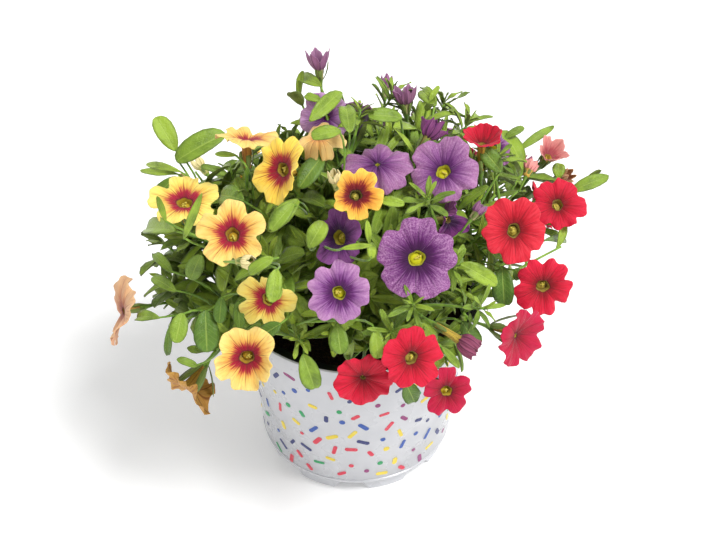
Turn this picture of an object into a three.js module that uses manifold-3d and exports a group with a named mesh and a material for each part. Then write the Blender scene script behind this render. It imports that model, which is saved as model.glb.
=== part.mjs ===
// Potted mix of small-flowered petunias: a white nursery pot with a black inside, its compost,
// and three plants in one pot, with yellow, purple and red flowers.
//
// Millimetres, +Z up. The origin lies on the pot's axis, level with the soles of its feet.
// The front of the planting faces -Y and its right side is +X.

import * as THREE from 'three';
import { mergeVertices } from 'three/addons/utils/BufferGeometryUtils.js';
import Module from 'manifold-3d';

const wasm = await Module();
wasm.setup();

// ---------------------------------------------------------------- driving dimensions

const POT = {
  height: 105,
  lipRadius: 66, // outside of the turned-over lip
  lipDrop: 11, // height of the lip's skirt
  mouthRadius: 60.2, // outside of the wall where it meets the lip
  wall: 1.6,
  baseRadius: 51, // outside of the wall at its lower edge
  baseEdge: 7.5, // height of that lower edge
  footRadius: 48.5,
  footHeight: 6.5,
  footWall: 2.6,
  footCount: 8,
  footTurn: -3, // degrees that the front gap lies to the left
  gapAtSole: 19, // width of a gap between two feet
  gapAtTop: 9,
  floor: 1.6,
  drainCount: 6,
  drainRadius: 3.5,
  drainCircle: 30,
  sides: 36,
};

const SOIL = { level: 92, mound: 2 };
const FIT = 0.3; // gap kept between pieces that touch

const STEM = { radius: 1.5, branchRadius: 1.0, sides: 5, steps: 4, crownRadius: 8 };
const LEAF = { length: 24, width: 10.5, thickness: 0.8, fold: 0.22, spacing: 0.6, clearance: 0.6 };
const FLOWER = { length: 24, stalkRadius: 0.9, calyxRadius: 2.4, lobes: 5 };

const COLOURS = {
  pot: 0xf1f1ef,
  soil: 0x2d211a,
  shoot: 0x6f9f2c,
  yellow: 0xf4b64c,
  purple: 0x7e4a9a,
  red: 0xd51f3c,
};

// Where each plant's crown stands in the compost.
const CROWNS = { yellow: [-26, -4], purple: [2, 22], red: [27, -6] };

// Every shoot carries the flowers listed with it, and may end in leaves whose points are listed as
// tips. Its root is turned about the crown, in degrees, where two would stand too close. A flower
// has the place of its mouth, the way it faces as degrees to the right of the front and degrees
// above level, and its width across.
const SHOOTS = [
  { plant: 'yellow', flowers: [
    { at: [-84, -13, 172], faces: [-8, 84], across: 36 },
    { at: [-53, 2, 199], faces: [180, 52], across: 32 },
  ], tips: [[-99, 28, 189], [-70, 30, 184]] },
  { plant: 'yellow', flowers: [
    { at: [-58, -54, 186], faces: [-10, 64], across: 34 },
    { at: [-36, -28, 203], faces: [-48, 34], across: 33 },
    { at: [-18, -11, 210], faces: [10, 112], across: 27 },
    { at: [0, -54, 209], faces: [8, 48], across: 25 },
  ] },
  { plant: 'yellow', flowers: [
    { at: [-42, -70, 158], faces: [-15, 32], across: 28 },
    { at: [-51, -96, 145], faces: [-4, 26], across: 32 },
  ] },
  { plant: 'yellow', flowers: [
    { at: [-121, -39, 120], faces: [-66, 6], across: 36 },
    { at: [-84, -66, 93], faces: [-52, -42], across: 31 },
  ], tips: [[-108, 6, 138]] },
  { plant: 'yellow', flowers: [
    { at: [-64, 72, 124], faces: [-132, 32], across: 32 },
    { at: [-96, 44, 124], faces: [-112, 12], across: 30 },
    { at: [-24, 92, 120], faces: [-168, 16], across: 28 },
  ], tips: [[-60, 104, 148]] },
  { plant: 'purple', flowers: [
    { at: [-18, 31, 216], faces: [17, 110], across: 13, bud: true },
    { at: [-15, 12, 203], faces: [-40, 40], across: 27 },
    { at: [6, 14, 206], faces: [150, 44], across: 24 },
  ], tips: [[-32, 30, 214]] },
  { plant: 'purple', rootTurn: 28, flowers: [
    { at: [10, -24, 205], faces: [5, 92], across: 35 },
    { at: [-9, -54, 183], faces: [-42, 36], across: 28 },
  ] },
  { plant: 'purple', rootTurn: -24, flowers: [
    { at: [28, -73, 187], faces: [6, 44], across: 38 },
    { at: [-8, -88, 179], faces: [-4, 40], across: 30 },
  ] },
  { plant: 'purple', rootTurn: 16, flowers: [
    { at: [24, 30, 201.5], faces: [17, 110], across: 12, bud: true },
    { at: [41, -26, 201], faces: [-8, 62], across: 34 },
    { at: [44, -46, 187], faces: [50, 30], across: 17 },
  ], tips: [[37, 24, 212]] },
  { plant: 'purple', flowers: [
    { at: [6, 90, 136], faces: [180, 28], across: 33 },
    { at: [36, 96, 116], faces: [162, 12], across: 30 },
  ], tips: [[20, 112, 126]] },
  { plant: 'purple', flowers: [
    { at: [70, 26, 174], faces: [60, 56], across: 23 },
    { at: [44, 74, 150], faces: [146, 36], across: 34 },
  ] },
  { plant: 'red', flowers: [
    { at: [61, 4, 195], faces: [0, 110], across: 22 },
    { at: [75, -42, 177], faces: [6, 42], across: 32 },
  ] },
  { plant: 'red', flowers: [
    { at: [101, 2, 157], faces: [24, 62], across: 29 },
    { at: [101, 34, 166], faces: [60, 62], across: 17 },
    { at: [111, 27, 156], faces: [56, 44], across: 9, bud: true },
  ], tips: [[126, 34, 153], [98, 32, 183]] },
  { plant: 'red', flowers: [
    { at: [91, -46, 144], faces: [12, 26], across: 31 },
    { at: [78, -70, 134], faces: [56, 8], across: 30 },
  ], tips: [[110, -12, 146]] },
  { plant: 'red', flowers: [
    { at: [26, -101, 150], faces: [20, 34], across: 29 },
    { at: [3, -97, 132], faces: [-2, 13], across: 28 },
    { at: [43, -99, 126], faces: [20, 28], across: 25 },
    { at: [50, -84, 144], faces: [58, -14], across: 10, bud: true },
  ], tips: [[52, -92, 130]] },
  { plant: 'red', flowers: [
    { at: [72, 72, 140], faces: [134, 30], across: 30 },
    { at: [58, 92, 114], faces: [150, 8], across: 28 },
    { at: [99, 46, 119], faces: [110, 12], across: 29 },
  ], tips: [[100, 76, 140]] },
];

// The clear head space between the plants and the wall, where water is poured in.
const HEAD_SPACE = { low: [-14, -54, 95.5], high: [14, -45, 104.5] };

// ---------------------------------------------------------------- solids and geometry

const radians = THREE.MathUtils.degToRad;

/** A closed geometry as a solid that can be joined and cut. */
function toSolid(geometry) {
  const bare = geometry.clone();
  bare.deleteAttribute('normal');
  bare.deleteAttribute('uv');
  const merged = mergeVertices(bare, 1e-4);
  return new wasm.Manifold(new wasm.Mesh({
    numProp: 3,
    vertProperties: new Float32Array(merged.attributes.position.array),
    triVerts: new Uint32Array(merged.index.array),
  }));
}

/** A solid as a geometry that a mesh can carry. */
function toGeometry(solid) {
  const { vertProperties, triVerts } = solid.getMesh();
  const geometry = new THREE.BufferGeometry();
  geometry.setAttribute('position', new THREE.BufferAttribute(new Float32Array(vertProperties), 3));
  geometry.setIndex(new THREE.BufferAttribute(new Uint32Array(triVerts), 1));
  geometry.computeVertexNormals();
  return geometry;
}

/** A profile of [radius, height] points turned about the Z axis. */
function turned(profile, sides) {
  const points = profile.map(([r, z]) => new THREE.Vector2(r, z));
  return new THREE.LatheGeometry(points, sides).rotateX(Math.PI / 2);
}

/** A straight-sided polygon of the given radius. */
function polygon(radius, sides) {
  const corners = [];
  for (let i = 0; i < sides; i += 1) {
    const angle = (2 * Math.PI * i) / sides;
    corners.push(new THREE.Vector2(radius * Math.cos(angle), radius * Math.sin(angle)));
  }
  return new THREE.Shape(corners);
}

/** A round stem along a curve. */
function tube(curve, radius) {
  return new THREE.ExtrudeGeometry(polygon(radius, STEM.sides), {
    steps: STEM.steps,
    extrudePath: curve,
    bevelEnabled: false,
  });
}

/** The unit vector that faces `turn` degrees right of the front and `lift` degrees above level. */
function facing([turn, lift]) {
  const level = Math.cos(radians(lift));
  return new THREE.Vector3(
    Math.sin(radians(turn)) * level,
    -Math.cos(radians(turn)) * level,
    Math.sin(radians(lift)),
  );
}

/** A named mesh with the object's own colour. */
function named(name, geometry, colour, roughness) {
  const material = new THREE.MeshStandardMaterial({ color: colour, roughness, metalness: 0 });
  const mesh = new THREE.Mesh(geometry, material);
  mesh.name = name;
  return mesh;
}

// ---------------------------------------------------------------- pot and compost

/** Outside radius of the pot's wall at a height. */
function wallRadius(z) {
  const share = (z - POT.baseEdge) / (POT.height - POT.baseEdge);
  return POT.baseRadius + share * (POT.mouthRadius - POT.baseRadius);
}

/** The pot's wall, lip, floor and foot ring in one, with gaps between the feet and drain holes. */
function potSolid() {
  const floorUnder = POT.footHeight;
  const floorTop = floorUnder + POT.floor;
  const inside = (z) => wallRadius(z) - POT.wall;
  const skirtFoot = POT.height - POT.lipDrop;
  const lipUnder = POT.height - POT.wall;
  const profile = [
    [0, floorUnder],
    [POT.footRadius - POT.footWall, floorUnder],
    [POT.footRadius - POT.footWall, 0],
    [POT.footRadius, 0],
    [POT.footRadius + 0.7, floorUnder - 0.5],
    [POT.baseRadius, POT.baseEdge],
    [wallRadius(lipUnder), lipUnder],
    [POT.lipRadius - POT.wall - 0.4, lipUnder],
    [POT.lipRadius - POT.wall - 0.7, skirtFoot],
    [POT.lipRadius - 0.7, skirtFoot],
    [POT.lipRadius, POT.height - 0.6],
    [POT.lipRadius - 0.6, POT.height],
    [POT.mouthRadius + 0.6, POT.height - 0.6],
    [inside(POT.height - 2.4), POT.height - 2.4],
    [inside(floorTop + 1.5), floorTop + 1.5],
    [inside(floorTop) - 1.5, floorTop],
    [0, floorTop],
  ];
  let pot = toSolid(turned(profile, POT.sides));
  for (let i = 0; i < POT.footCount; i += 1) {
    pot = pot.subtract(footGap(i));
  }
  for (let i = 0; i < POT.drainCount; i += 1) {
    pot = pot.subtract(drainHole(i));
  }
  return pot;
}

/** The wedge of air between two feet, wider at the sole. */
function footGap(index) {
  const reach = 14;
  const outline = new THREE.Shape([
    new THREE.Vector2(-POT.gapAtSole / 2, -1),
    new THREE.Vector2(POT.gapAtSole / 2, -1),
    new THREE.Vector2(POT.gapAtTop / 2, POT.footHeight - 1),
    new THREE.Vector2(-POT.gapAtTop / 2, POT.footHeight - 1),
  ]);
  const wedge = new THREE.ExtrudeGeometry(outline, { depth: reach, bevelEnabled: false });
  wedge.rotateX(Math.PI / 2);
  wedge.translate(0, -(POT.footRadius - reach / 2), 0);
  wedge.rotateZ(radians(POT.footTurn + (360 / POT.footCount) * index));
  return toSolid(wedge);
}

/** One round drain hole through the floor. */
function drainHole(index) {
  const angle = radians(30 + (360 / POT.drainCount) * index);
  const hole = new THREE.CylinderGeometry(POT.drainRadius, POT.drainRadius, 4 * POT.floor, 8);
  hole.rotateX(Math.PI / 2);
  hole.translate(
    POT.drainCircle * Math.cos(angle),
    POT.drainCircle * Math.sin(angle),
    POT.footHeight + POT.floor / 2,
  );
  return toSolid(hole);
}

/** Height of the compost at a distance from the axis. */
function soilHeight(radius) {
  return SOIL.level + SOIL.mound * (1 - (radius / POT.mouthRadius) ** 2);
}

/** The compost fills the pot to just under its lip and is a little higher in the middle. */
function soilGeometry() {
  const floorTop = POT.footHeight + POT.floor;
  const edge = (z) => wallRadius(z) - POT.wall - FIT;
  const profile = [
    [0, floorTop + FIT],
    [edge(floorTop) - 2, floorTop + FIT],
    [edge(floorTop + 2), floorTop + 2],
    [edge(SOIL.level), SOIL.level],
    [POT.mouthRadius * 0.5, soilHeight(POT.mouthRadius * 0.5)],
    [0, soilHeight(0)],
  ];
  return turned(profile, POT.sides);
}

// ---------------------------------------------------------------- flowers and buds

/** A trumpet flower: stalk, calyx, tube and five rounded lobes, its mouth at Z = 0. */
function flowerGeometry(across) {
  const half = across / 2;
  const end = -FLOWER.length;
  const sides = 2 * FLOWER.lobes;
  const profile = [
    [0, end],
    [FLOWER.stalkRadius, end + 0.2],
    [FLOWER.calyxRadius, end + 7],
    [FLOWER.calyxRadius + 0.9, -4],
    [half, 0],
    [half, 0.8],
    [FLOWER.calyxRadius, -3.4],
    [0, -6],
  ];
  const geometry = turned(profile, sides);
  const place = geometry.attributes.position;
  for (let i = 0; i < place.count; i += 1) {
    const radius = Math.hypot(place.getX(i), place.getY(i));
    const step = Math.round((Math.atan2(place.getX(i), -place.getY(i)) * sides) / (2 * Math.PI));
    if (radius > half * 0.9 && step % 2 !== 0) {
      place.setX(i, place.getX(i) * 0.86);
      place.setY(i, place.getY(i) * 0.86);
    }
  }
  return geometry;
}

/** A closed or half-open bud on its stalk and calyx, its tip a little beyond Z = 0. */
function budGeometry(across) {
  const end = -FLOWER.length;
  const profile = [
    [0, end],
    [FLOWER.stalkRadius, end + 0.2],
    [FLOWER.calyxRadius, end + 6],
    [FLOWER.calyxRadius, end + 12],
    [across / 2, 0],
    [0, 2],
  ];
  return turned(profile, 6);
}

// ---------------------------------------------------------------- shoots

/** A leaf lying along +X from its base at the origin, folded a little along its middle. */
function leafGeometry() {
  const half = LEAF.width / 2;
  const outline = new THREE.Shape([
    new THREE.Vector2(0, -0.6),
    new THREE.Vector2(LEAF.length * 0.55, -half),
    new THREE.Vector2(LEAF.length, 0),
    new THREE.Vector2(LEAF.length * 0.55, half),
    new THREE.Vector2(0, 0.6),
  ]);
  const geometry = new THREE.ExtrudeGeometry(outline, { depth: LEAF.thickness, bevelEnabled: false });
  const place = geometry.attributes.position;
  for (let i = 0; i < place.count; i += 1) {
    place.setZ(i, place.getZ(i) - LEAF.thickness / 2 + LEAF.fold * Math.abs(place.getY(i)));
  }
  return geometry;
}

/** Where a flower's stalk begins. */
function stalkStart(flower) {
  const at = new THREE.Vector3(...flower.at);
  return at.addScaledVector(facing(flower.faces), -FLOWER.length - FIT);
}

/** The middle of the points where a shoot's flowers join it. */
function middleOf(flowers) {
  const sum = new THREE.Vector3();
  flowers.forEach((flower) => sum.add(stalkStart(flower)));
  return sum.divideScalar(flowers.length);
}

/** A branch from a fork to an end that it reaches in the given direction. */
function branchCurve(root, fork, end, direction) {
  const span = fork.distanceTo(end);
  const leave = end.clone().sub(root).setLength(0.3 * span);
  const arrive = end.clone().addScaledVector(direction, -0.35 * span);
  return new THREE.CubicBezierCurve3(fork, fork.clone().add(leave), arrive, end);
}

/** The curves of one shoot: its stem from the compost to a fork, and a branch to each end. */
function shootCurves(root, flowers, tips) {
  const fork = root.clone().lerp(middleOf(flowers), 0.42);
  fork.z += 5;
  const rise = new THREE.Vector3(0, 0, 0.45 * (fork.z - root.z));
  const lean = fork.clone().sub(root).multiplyScalar(0.35);
  const stem = new THREE.CubicBezierCurve3(root, root.clone().add(rise), fork.clone().sub(lean), fork);
  const flowering = flowers.map((flower) => (
    branchCurve(root, fork, stalkStart(flower), facing(flower.faces))
  ));
  const leafy = tips.map((tip) => {
    const point = new THREE.Vector3(...tip);
    const outward = point.clone().sub(fork).normalize();
    const end = point.clone().addScaledVector(outward, 1 - LEAF.length);
    return branchCurve(root, fork, end, outward);
  });
  return { stem, flowering, leafy };
}

/** The solid of one leaf that points in a direction from its base, its upper face to the sky. */
function leafSolid(base, direction) {
  const up = new THREE.Vector3(0, 0, 1);
  const face = new THREE.Vector3().crossVectors(direction, up).cross(direction).normalize();
  const edge = new THREE.Vector3().crossVectors(face, direction);
  const frame = new THREE.Matrix4().makeBasis(direction, edge, face).setPosition(base);
  return toSolid(leafGeometry()).transform(frame.elements);
}

/** The solid of one leaf growing from a point of a branch, on the side given in degrees. */
function leafOn(branch, share, side) {
  const along = branch.getTangentAt(share);
  const across = new THREE.Vector3(-along.y, along.x, 0).normalize();
  across.applyAxisAngle(along, radians(side));
  const direction = along.clone().multiplyScalar(0.62).addScaledVector(across, 0.78).normalize();
  return leafSolid(branch.getPointAt(share), direction);
}

/** Whether a solid keeps its clearance to every other one. */
function isClear(solid, others) {
  return others.every((other) => solid.minGap(other, LEAF.clearance) >= LEAF.clearance);
}

/** The world-space solid of a placed mesh. */
function placedSolid(mesh) {
  mesh.updateMatrixWorld(true);
  return toSolid(mesh.geometry).transform(mesh.matrixWorld.elements);
}

// ---------------------------------------------------------------- assembly

const planting = new THREE.Group();

const pot = named('pot', toGeometry(potSolid()), COLOURS.pot, 0.35);
const soil = named('soil', soilGeometry(), COLOURS.soil, 0.95);
planting.add(pot, soil);

const counts = { flower: {}, bud: {}, shoot: {} };

/** The next name for a piece of a plant, such as red_flower_2. */
function nextName(plant, kind) {
  counts[kind][plant] = (counts[kind][plant] ?? 0) + 1;
  return `${plant}_${kind}_${counts[kind][plant]}`;
}

const blooms = [];
for (const { plant, flowers } of SHOOTS) {
  for (const flower of flowers) {
    const geometry = flower.bud ? budGeometry(flower.across) : flowerGeometry(flower.across);
    const name = nextName(plant, flower.bud ? 'bud' : 'flower');
    const bloom = named(name, geometry, COLOURS[plant], 0.6);
    bloom.position.set(...flower.at);
    bloom.quaternion.setFromUnitVectors(new THREE.Vector3(0, 0, 1), facing(flower.faces));
    blooms.push(bloom);
  }
}
planting.add(...blooms);

// Each shoot rises from a ring around its crown, on the side its flowers are.
const shoots = SHOOTS.map(({ plant, rootTurn = 0, flowers, tips = [] }) => {
  const [crownX, crownY] = CROWNS[plant];
  const heading = middleOf(flowers);
  const angle = radians(rootTurn) + Math.atan2(heading.y - crownY, heading.x - crownX);
  const x = crownX + STEM.crownRadius * Math.cos(angle);
  const y = crownY + STEM.crownRadius * Math.sin(angle);
  const root = new THREE.Vector3(x, y, soilHeight(Math.hypot(x, y)) + FIT);
  const { stem, flowering, leafy } = shootCurves(root, flowers, tips);
  const branches = [...flowering, ...leafy];
  const parts = [
    toSolid(tube(stem, STEM.radius)),
    ...branches.map((branch) => toSolid(tube(branch, STEM.branchRadius))),
    ...leafy.map((branch) => leafSolid(branch.getPointAt(0.98), branch.getTangentAt(1))),
  ];
  const solid = parts.reduce((whole, piece) => whole.add(piece));
  return { name: nextName(plant, 'shoot'), root, branches, solid };
});

// Leaves spiral up every branch. One that would touch a neighbour is left off.
const fixed = [pot, soil, ...blooms].map(placedSolid);
const spaceSize = HEAD_SPACE.high.map((high, i) => high - HEAD_SPACE.low[i]);
const space = new THREE.BoxGeometry(...spaceSize).translate(
  ...HEAD_SPACE.low.map((low, i) => low + spaceSize[i] / 2),
);
fixed.push(toSolid(space));
const GOLDEN_ANGLE = 137.5;
for (const shoot of shoots) {
  const others = shoots.filter((other) => other !== shoot);
  shoot.branches.forEach((branch, row) => {
    for (let n = 1; n * LEAF.spacing < 0.95; n += 1) {
      const leaf = leafOn(branch, n * LEAF.spacing, GOLDEN_ANGLE * (n + 2 * row));
      if (isClear(leaf, [...fixed, ...others.map((other) => other.solid)])) {
        shoot.solid = shoot.solid.add(leaf);
      }
    }
  });
}

for (const { name, root, solid } of shoots) {
  const geometry = toGeometry(solid).translate(-root.x, -root.y, -root.z);
  const shoot = named(name, geometry, COLOURS.shoot, 0.7);
  shoot.position.copy(root);
  planting.add(shoot);
}

export default planting;
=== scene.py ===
"""Looks of a pot of three small-flowered petunias: yellow, purple and red from left to right.

A piece is shaped in millimetres and its finished mesh is in metres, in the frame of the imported
model: the pot's axis is Z, and the front of the planting faces -Y.
"""

import logging
import math
import random
from collections.abc import Callable, Sequence
from dataclasses import dataclass, field
from enum import Enum, IntEnum

import bmesh
import bpy
import numpy as np
from bmesh.types import BMesh
from bpy.types import Material, Mesh, NodeSocket, Object
from mathutils import Matrix, Vector, geometry, noise

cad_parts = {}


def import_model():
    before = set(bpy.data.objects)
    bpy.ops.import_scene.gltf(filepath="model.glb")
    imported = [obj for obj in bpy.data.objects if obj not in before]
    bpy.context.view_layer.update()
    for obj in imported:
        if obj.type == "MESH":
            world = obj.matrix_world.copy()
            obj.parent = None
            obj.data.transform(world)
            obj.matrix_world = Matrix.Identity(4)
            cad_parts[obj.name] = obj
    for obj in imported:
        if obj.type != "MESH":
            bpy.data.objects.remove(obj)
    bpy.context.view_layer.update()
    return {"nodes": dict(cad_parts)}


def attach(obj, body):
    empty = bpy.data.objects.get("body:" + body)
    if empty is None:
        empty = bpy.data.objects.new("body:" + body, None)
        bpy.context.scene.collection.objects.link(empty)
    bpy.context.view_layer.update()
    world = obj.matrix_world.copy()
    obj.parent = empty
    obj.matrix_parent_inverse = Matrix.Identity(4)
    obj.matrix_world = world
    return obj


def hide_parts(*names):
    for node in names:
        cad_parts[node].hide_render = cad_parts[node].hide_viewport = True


log = logging.getLogger("petunias")

MM = 0.001
UP = Vector((0, 0, 1))
GOLDEN_ANGLE = math.radians(137.5)
VIEW_PITCH = math.radians(42)  # how far down from level the planting is looked at
HEART = Vector((0, 0, 110))  # middle of the planting
LOBES = 5  # lobes of a corolla, and sepals under it
FLOWER_LENGTH = 24.0  # from the mouth of a packed flower to the end of its stalk
LONGEST_TUBE = 16.5  # from the mouth to the end of the tube of an open flower
PETAL_LAYER = "petal"  # disc coordinates of a corolla: its rim has radius 1
BLADE_LAYER = "blade"  # across (-1 to 1), along (0 to 1) and freshness of a leaf
THROAT = 0.2  # share of a corolla's radius where its tube opens


class Slot(IntEnum):
    """Material slots of the foliage and of the calyxes."""

    LEAF_FACE = 0
    LEAF_BACK = 1
    STEM = 2
    ANTHER = 3
    PETAL = 4


# ---------------- colour and nodes


def linear(colour: str) -> tuple[float, float, float, float]:
    """Turns an sRGB hex colour into linear red, green, blue and alpha.

    Args:
        colour: a colour such as "#7DB32A".

    Returns:
        The four linear values.
    """
    shares = [int(colour[i : i + 2], 16) / 255 for i in (1, 3, 5)]
    values = [s / 12.92 if s <= 0.04045 else ((s + 0.055) / 1.055) ** 2.4 for s in shares]
    return (*values, 1.0)


class Recipe:
    """One material, built node by node around its Principled shader."""

    def __init__(self, name: str, **uniform: float | str) -> None:
        """Starts a material.

        Args:
            name: the material's name.
            **uniform: shader sockets, with _ for a space, that are the same all over the surface.
        """
        self.material = bpy.data.materials.new(name)
        self.material.use_nodes = True
        self.tree = self.material.node_tree
        self.shader = self.tree.nodes["Principled BSDF"]
        for socket, value in uniform.items():
            plain = linear(value) if isinstance(value, str) else value
            self.shader.inputs[socket.replace("_", " ")].default_value = plain

    def add(self, kind: str, inputs: dict, out: int | str = 0, **settings: object) -> NodeSocket:
        """Adds a node with its settings and links.

        Args:
            kind: the node's type, without ShaderNode.
            inputs: for each input socket a socket to link, a hex colour or a plain value.
            out: the output that is wanted.
            **settings: the node's own properties.

        Returns:
            The wanted output socket.
        """
        node = self.tree.nodes.new("ShaderNode" + kind)
        for key, value in settings.items():
            setattr(node, key, value)
        for key, value in inputs.items():
            if isinstance(value, NodeSocket):
                self.tree.links.new(value, node.inputs[key])
            else:
                node.inputs[key].default_value = linear(value) if isinstance(value, str) else value
        return node.outputs[out]

    def finish(self, colour: NodeSocket, roughness: NodeSocket | None = None,
               height: NodeSocket | None = None, relief: float = 0.1) -> Material:
        """Links the last sockets to the shader.

        Args:
            colour: the base colour.
            roughness: the roughness, where it varies.
            height: the bump's height, from 0 to 1.
            relief: how high the bump stands, in millimetres.

        Returns:
            The finished material.
        """
        self.tree.links.new(colour, self.shader.inputs["Base Color"])
        if roughness is not None:
            self.tree.links.new(roughness, self.shader.inputs["Roughness"])
        if height is not None:
            raised = {"Height": height, "Distance": relief * MM, "Strength": 1.0}
            bump = self.add("Bump", raised, "Normal")
            self.tree.links.new(bump, self.shader.inputs["Normal"])
        return self.material


# ---------------- finishes


@dataclass(frozen=True)
class PetalFinish:
    """Petal of a small-flowered petunia: thin, velvety, veined from its throat.

    The cells of its skin are cones, so it has no gloss but a soft sheen, and its colour deepens
    where the eye meets the throat.
    """

    name: str
    limb: str  # colour of the lobes near the eye
    outer: str  # colour of the lobes near the rim
    eye: str  # colour round the throat
    heart: str  # colour of the throat
    ring: str  # colour where the throat meets the eye
    seam: str  # colour of the lines between the lobes
    back: str  # colour of the lobes' backs
    tube: str  # colour of the tube's outside
    eye_reach: float = 0.45
    feather: float = 0.5  # how far the eye's rays run out
    speckle: float = 0.0  # how much paler specks cover the lobes
    veins: float = 0.28
    streaks: float = 6.0  # radius in noise units of the circle that the rays are read on

    def _polar(self, recipe: Recipe) -> tuple[NodeSocket, NodeSocket, NodeSocket]:
        """Adds what both sides share.

        Args:
            recipe: the material.

        Returns:
            The share of the radius, how far the nearest seam or middle line of a lobe is, and the
            noise of the rays.
        """
        disc = recipe.add("Attribute", {}, "Vector", attribute_name=PETAL_LAYER)
        share = recipe.add("VectorMath", {0: disc}, "Value", operation="LENGTH")
        heading = recipe.add("VectorMath", {0: disc}, operation="NORMALIZE")
        x = recipe.add("SeparateXYZ", {0: disc})
        angle = recipe.add("Math", {0: x.node.outputs[1], 1: x}, operation="ARCTAN2")
        half = recipe.add("Math", {0: angle, 1: LOBES / 2}, operation="MULTIPLY")
        wave = recipe.add("Math", {0: half}, operation="COSINE")
        between = recipe.add("Math", {0: wave}, operation="ABSOLUTE")
        swing = recipe.add("Math", {0: half}, operation="SINE")
        inside = recipe.add("Math", {0: swing}, operation="ABSOLUTE")
        wider = recipe.add("Math", {0: inside, 1: 1.0, 2: 0.006}, operation="MULTIPLY_ADD")
        turn = recipe.add("Math", {0: between, 1: wider}, operation="MINIMUM")
        arc = recipe.add("Math", {0: turn, 1: share}, operation="MULTIPLY")
        seam = recipe.add("Math", {0: arc, 1: 2 / LOBES}, operation="MULTIPLY")
        lift = recipe.add("CombineXYZ", {2: share})
        spread = (self.streaks, self.streaks, 1.0)
        point = recipe.add("VectorMath", {0: heading, 1: spread, 2: lift}, operation="MULTIPLY_ADD")
        streak = recipe.add("TexNoise", {"Vector": point, "Scale": 3.0, "Detail": 3.0})
        return share, seam, streak

    def _specks(self, recipe: Recipe, place: NodeSocket, outward: NodeSocket) -> NodeSocket:
        """Adds specks between the veins, more of them towards the rim.

        Args:
            recipe: the material.
            place: the point on the object.
            outward: 0 at the eye and 1 at the rim.

        Returns:
            How much of a speck there is.
        """
        # about 0.6 mm across
        grain = recipe.add("TexNoise", {"Vector": place, "Scale": 1 / (0.6 * MM), "Detail": 3.0})
        speck = recipe.add("MapRange", {0: grain, 1: 0.42, 2: 0.72, 3: 0.0, 4: self.speckle})
        spread = recipe.add("MapRange", {0: outward, 1: 0.0, 2: 0.7})
        return recipe.add("Math", {0: speck, 1: spread}, operation="MULTIPLY")

    def face(self) -> Material:
        """Makes the material of the side that the flower shows.

        Returns:
            The material.
        """
        recipe = Recipe(self.name + "_petal_face", Roughness=0.62, Sheen_Weight=0.1,
                        Sheen_Roughness=0.5, Specular_IOR_Level=0.25)
        share, seam, streak = self._polar(recipe)
        place = recipe.add("TexCoord", {}, "Object")
        outward = recipe.add("MapRange", {0: share, 1: self.eye_reach, 2: 1.0})
        # pale and deep clouds about 6 mm across
        cloud = recipe.add("TexNoise", {"Vector": place, "Scale": 1 / (6 * MM), "Detail": 2.0})
        cloudy = recipe.add("MapRange", {0: cloud, 1: 0.42, 2: 0.7, 3: 0.0, 4: 0.45})
        # paler streaks between the veins: partly the petal's own streaky colour, partly painted highlight
        pale = recipe.add("MapRange", {0: streak, 1: 0.3, 2: 0.48, 3: 0.3, 4: 0.0})
        vein = recipe.add("MapRange", {0: streak, 1: 0.52, 2: 0.68, 3: 0.0, 4: self.veins})
        # the eye ends in rays: its rim moves out and in with the noise
        ray = recipe.add("Math", {0: streak, 1: -self.feather, 2: share}, operation="MULTIPLY_ADD")
        rim = self.eye_reach - 0.47 * self.feather
        halo = recipe.add("MapRange", {0: ray, 1: rim - 0.02, 2: rim + 0.24, 3: 0.42, 4: 0.0})
        eyed = recipe.add("MapRange", {0: ray, 1: rim - 0.09, 2: rim + 0.09, 3: 1.0, 4: 0.0},
                          interpolation_type="SMOOTHSTEP")
        deep = recipe.add("MapRange", {0: ray, 1: rim - 0.3, 2: rim, 3: 0.6, 4: 0.0})
        line = recipe.add("MapRange", {0: seam, 1: 0.004, 2: 0.018, 3: 0.8, 4: 0.0})
        fading = recipe.add("MapRange", {0: share, 1: 0.65, 2: 1.0, 3: 1.0, 4: 0.0})
        seamed = recipe.add("Math", {0: line, 1: fading}, operation="MULTIPLY")
        ringed = recipe.add("MapRange", {0: share, 1: THROAT, 2: THROAT + 0.05, 3: 0.9, 4: 0.0})
        hearted = recipe.add("MapRange", {0: share, 1: THROAT - 0.012, 2: THROAT + 0.008, 3: 1.0, 4: 0.0})
        layers = [(outward, self.outer), (cloudy, self.limb)]
        if self.speckle:
            layers.append((self._specks(recipe, place, outward), self.back))
        layers += [(pale, self.back), (vein, self.eye), (halo, self.eye), (eyed, self.eye),
                   (deep, self.ring), (seamed, self.seam), (ringed, self.ring), (hearted, self.heart)]
        colour: NodeSocket | str = self.limb
        for amount, layer in layers:
            colour = recipe.add("Mix", {0: amount, 6: colour, 7: layer}, 2, data_type="RGBA")
        return recipe.finish(colour, height=streak, relief=0.6)

    def reverse(self) -> Material:
        """Makes the material of the side that faces the stem, paler and with plainer veins.

        Returns:
            The material.
        """
        recipe = Recipe(self.name + "_petal_back", Roughness=0.7, Sheen_Weight=0.06,
                        Specular_IOR_Level=0.2)
        share, seam, streak = self._polar(recipe)
        vein = recipe.add("MapRange", {0: streak, 1: 0.48, 2: 0.62, 3: 0.0, 4: 0.5})
        line = recipe.add("MapRange", {0: seam, 1: 0.01, 2: 0.035, 3: 0.7, 4: 0.0})
        stripe = recipe.add("MapRange", {0: streak, 1: 0.46, 2: 0.56, 3: 0.0, 4: 0.75})
        tube = recipe.add("Mix", {0: stripe, 6: self.tube, 7: self.seam}, 2, data_type="RGBA")
        tubed = recipe.add("MapRange", {0: share, 1: THROAT, 2: THROAT + 0.07, 3: 1.0, 4: 0.0})
        colour: NodeSocket | str = self.back
        for amount, layer in ((vein, self.limb), (line, self.seam), (tubed, tube)):
            colour = recipe.add("Mix", {0: amount, 6: colour, 7: layer}, 2, data_type="RGBA")
        return recipe.finish(colour, height=streak, relief=0.2)


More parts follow.
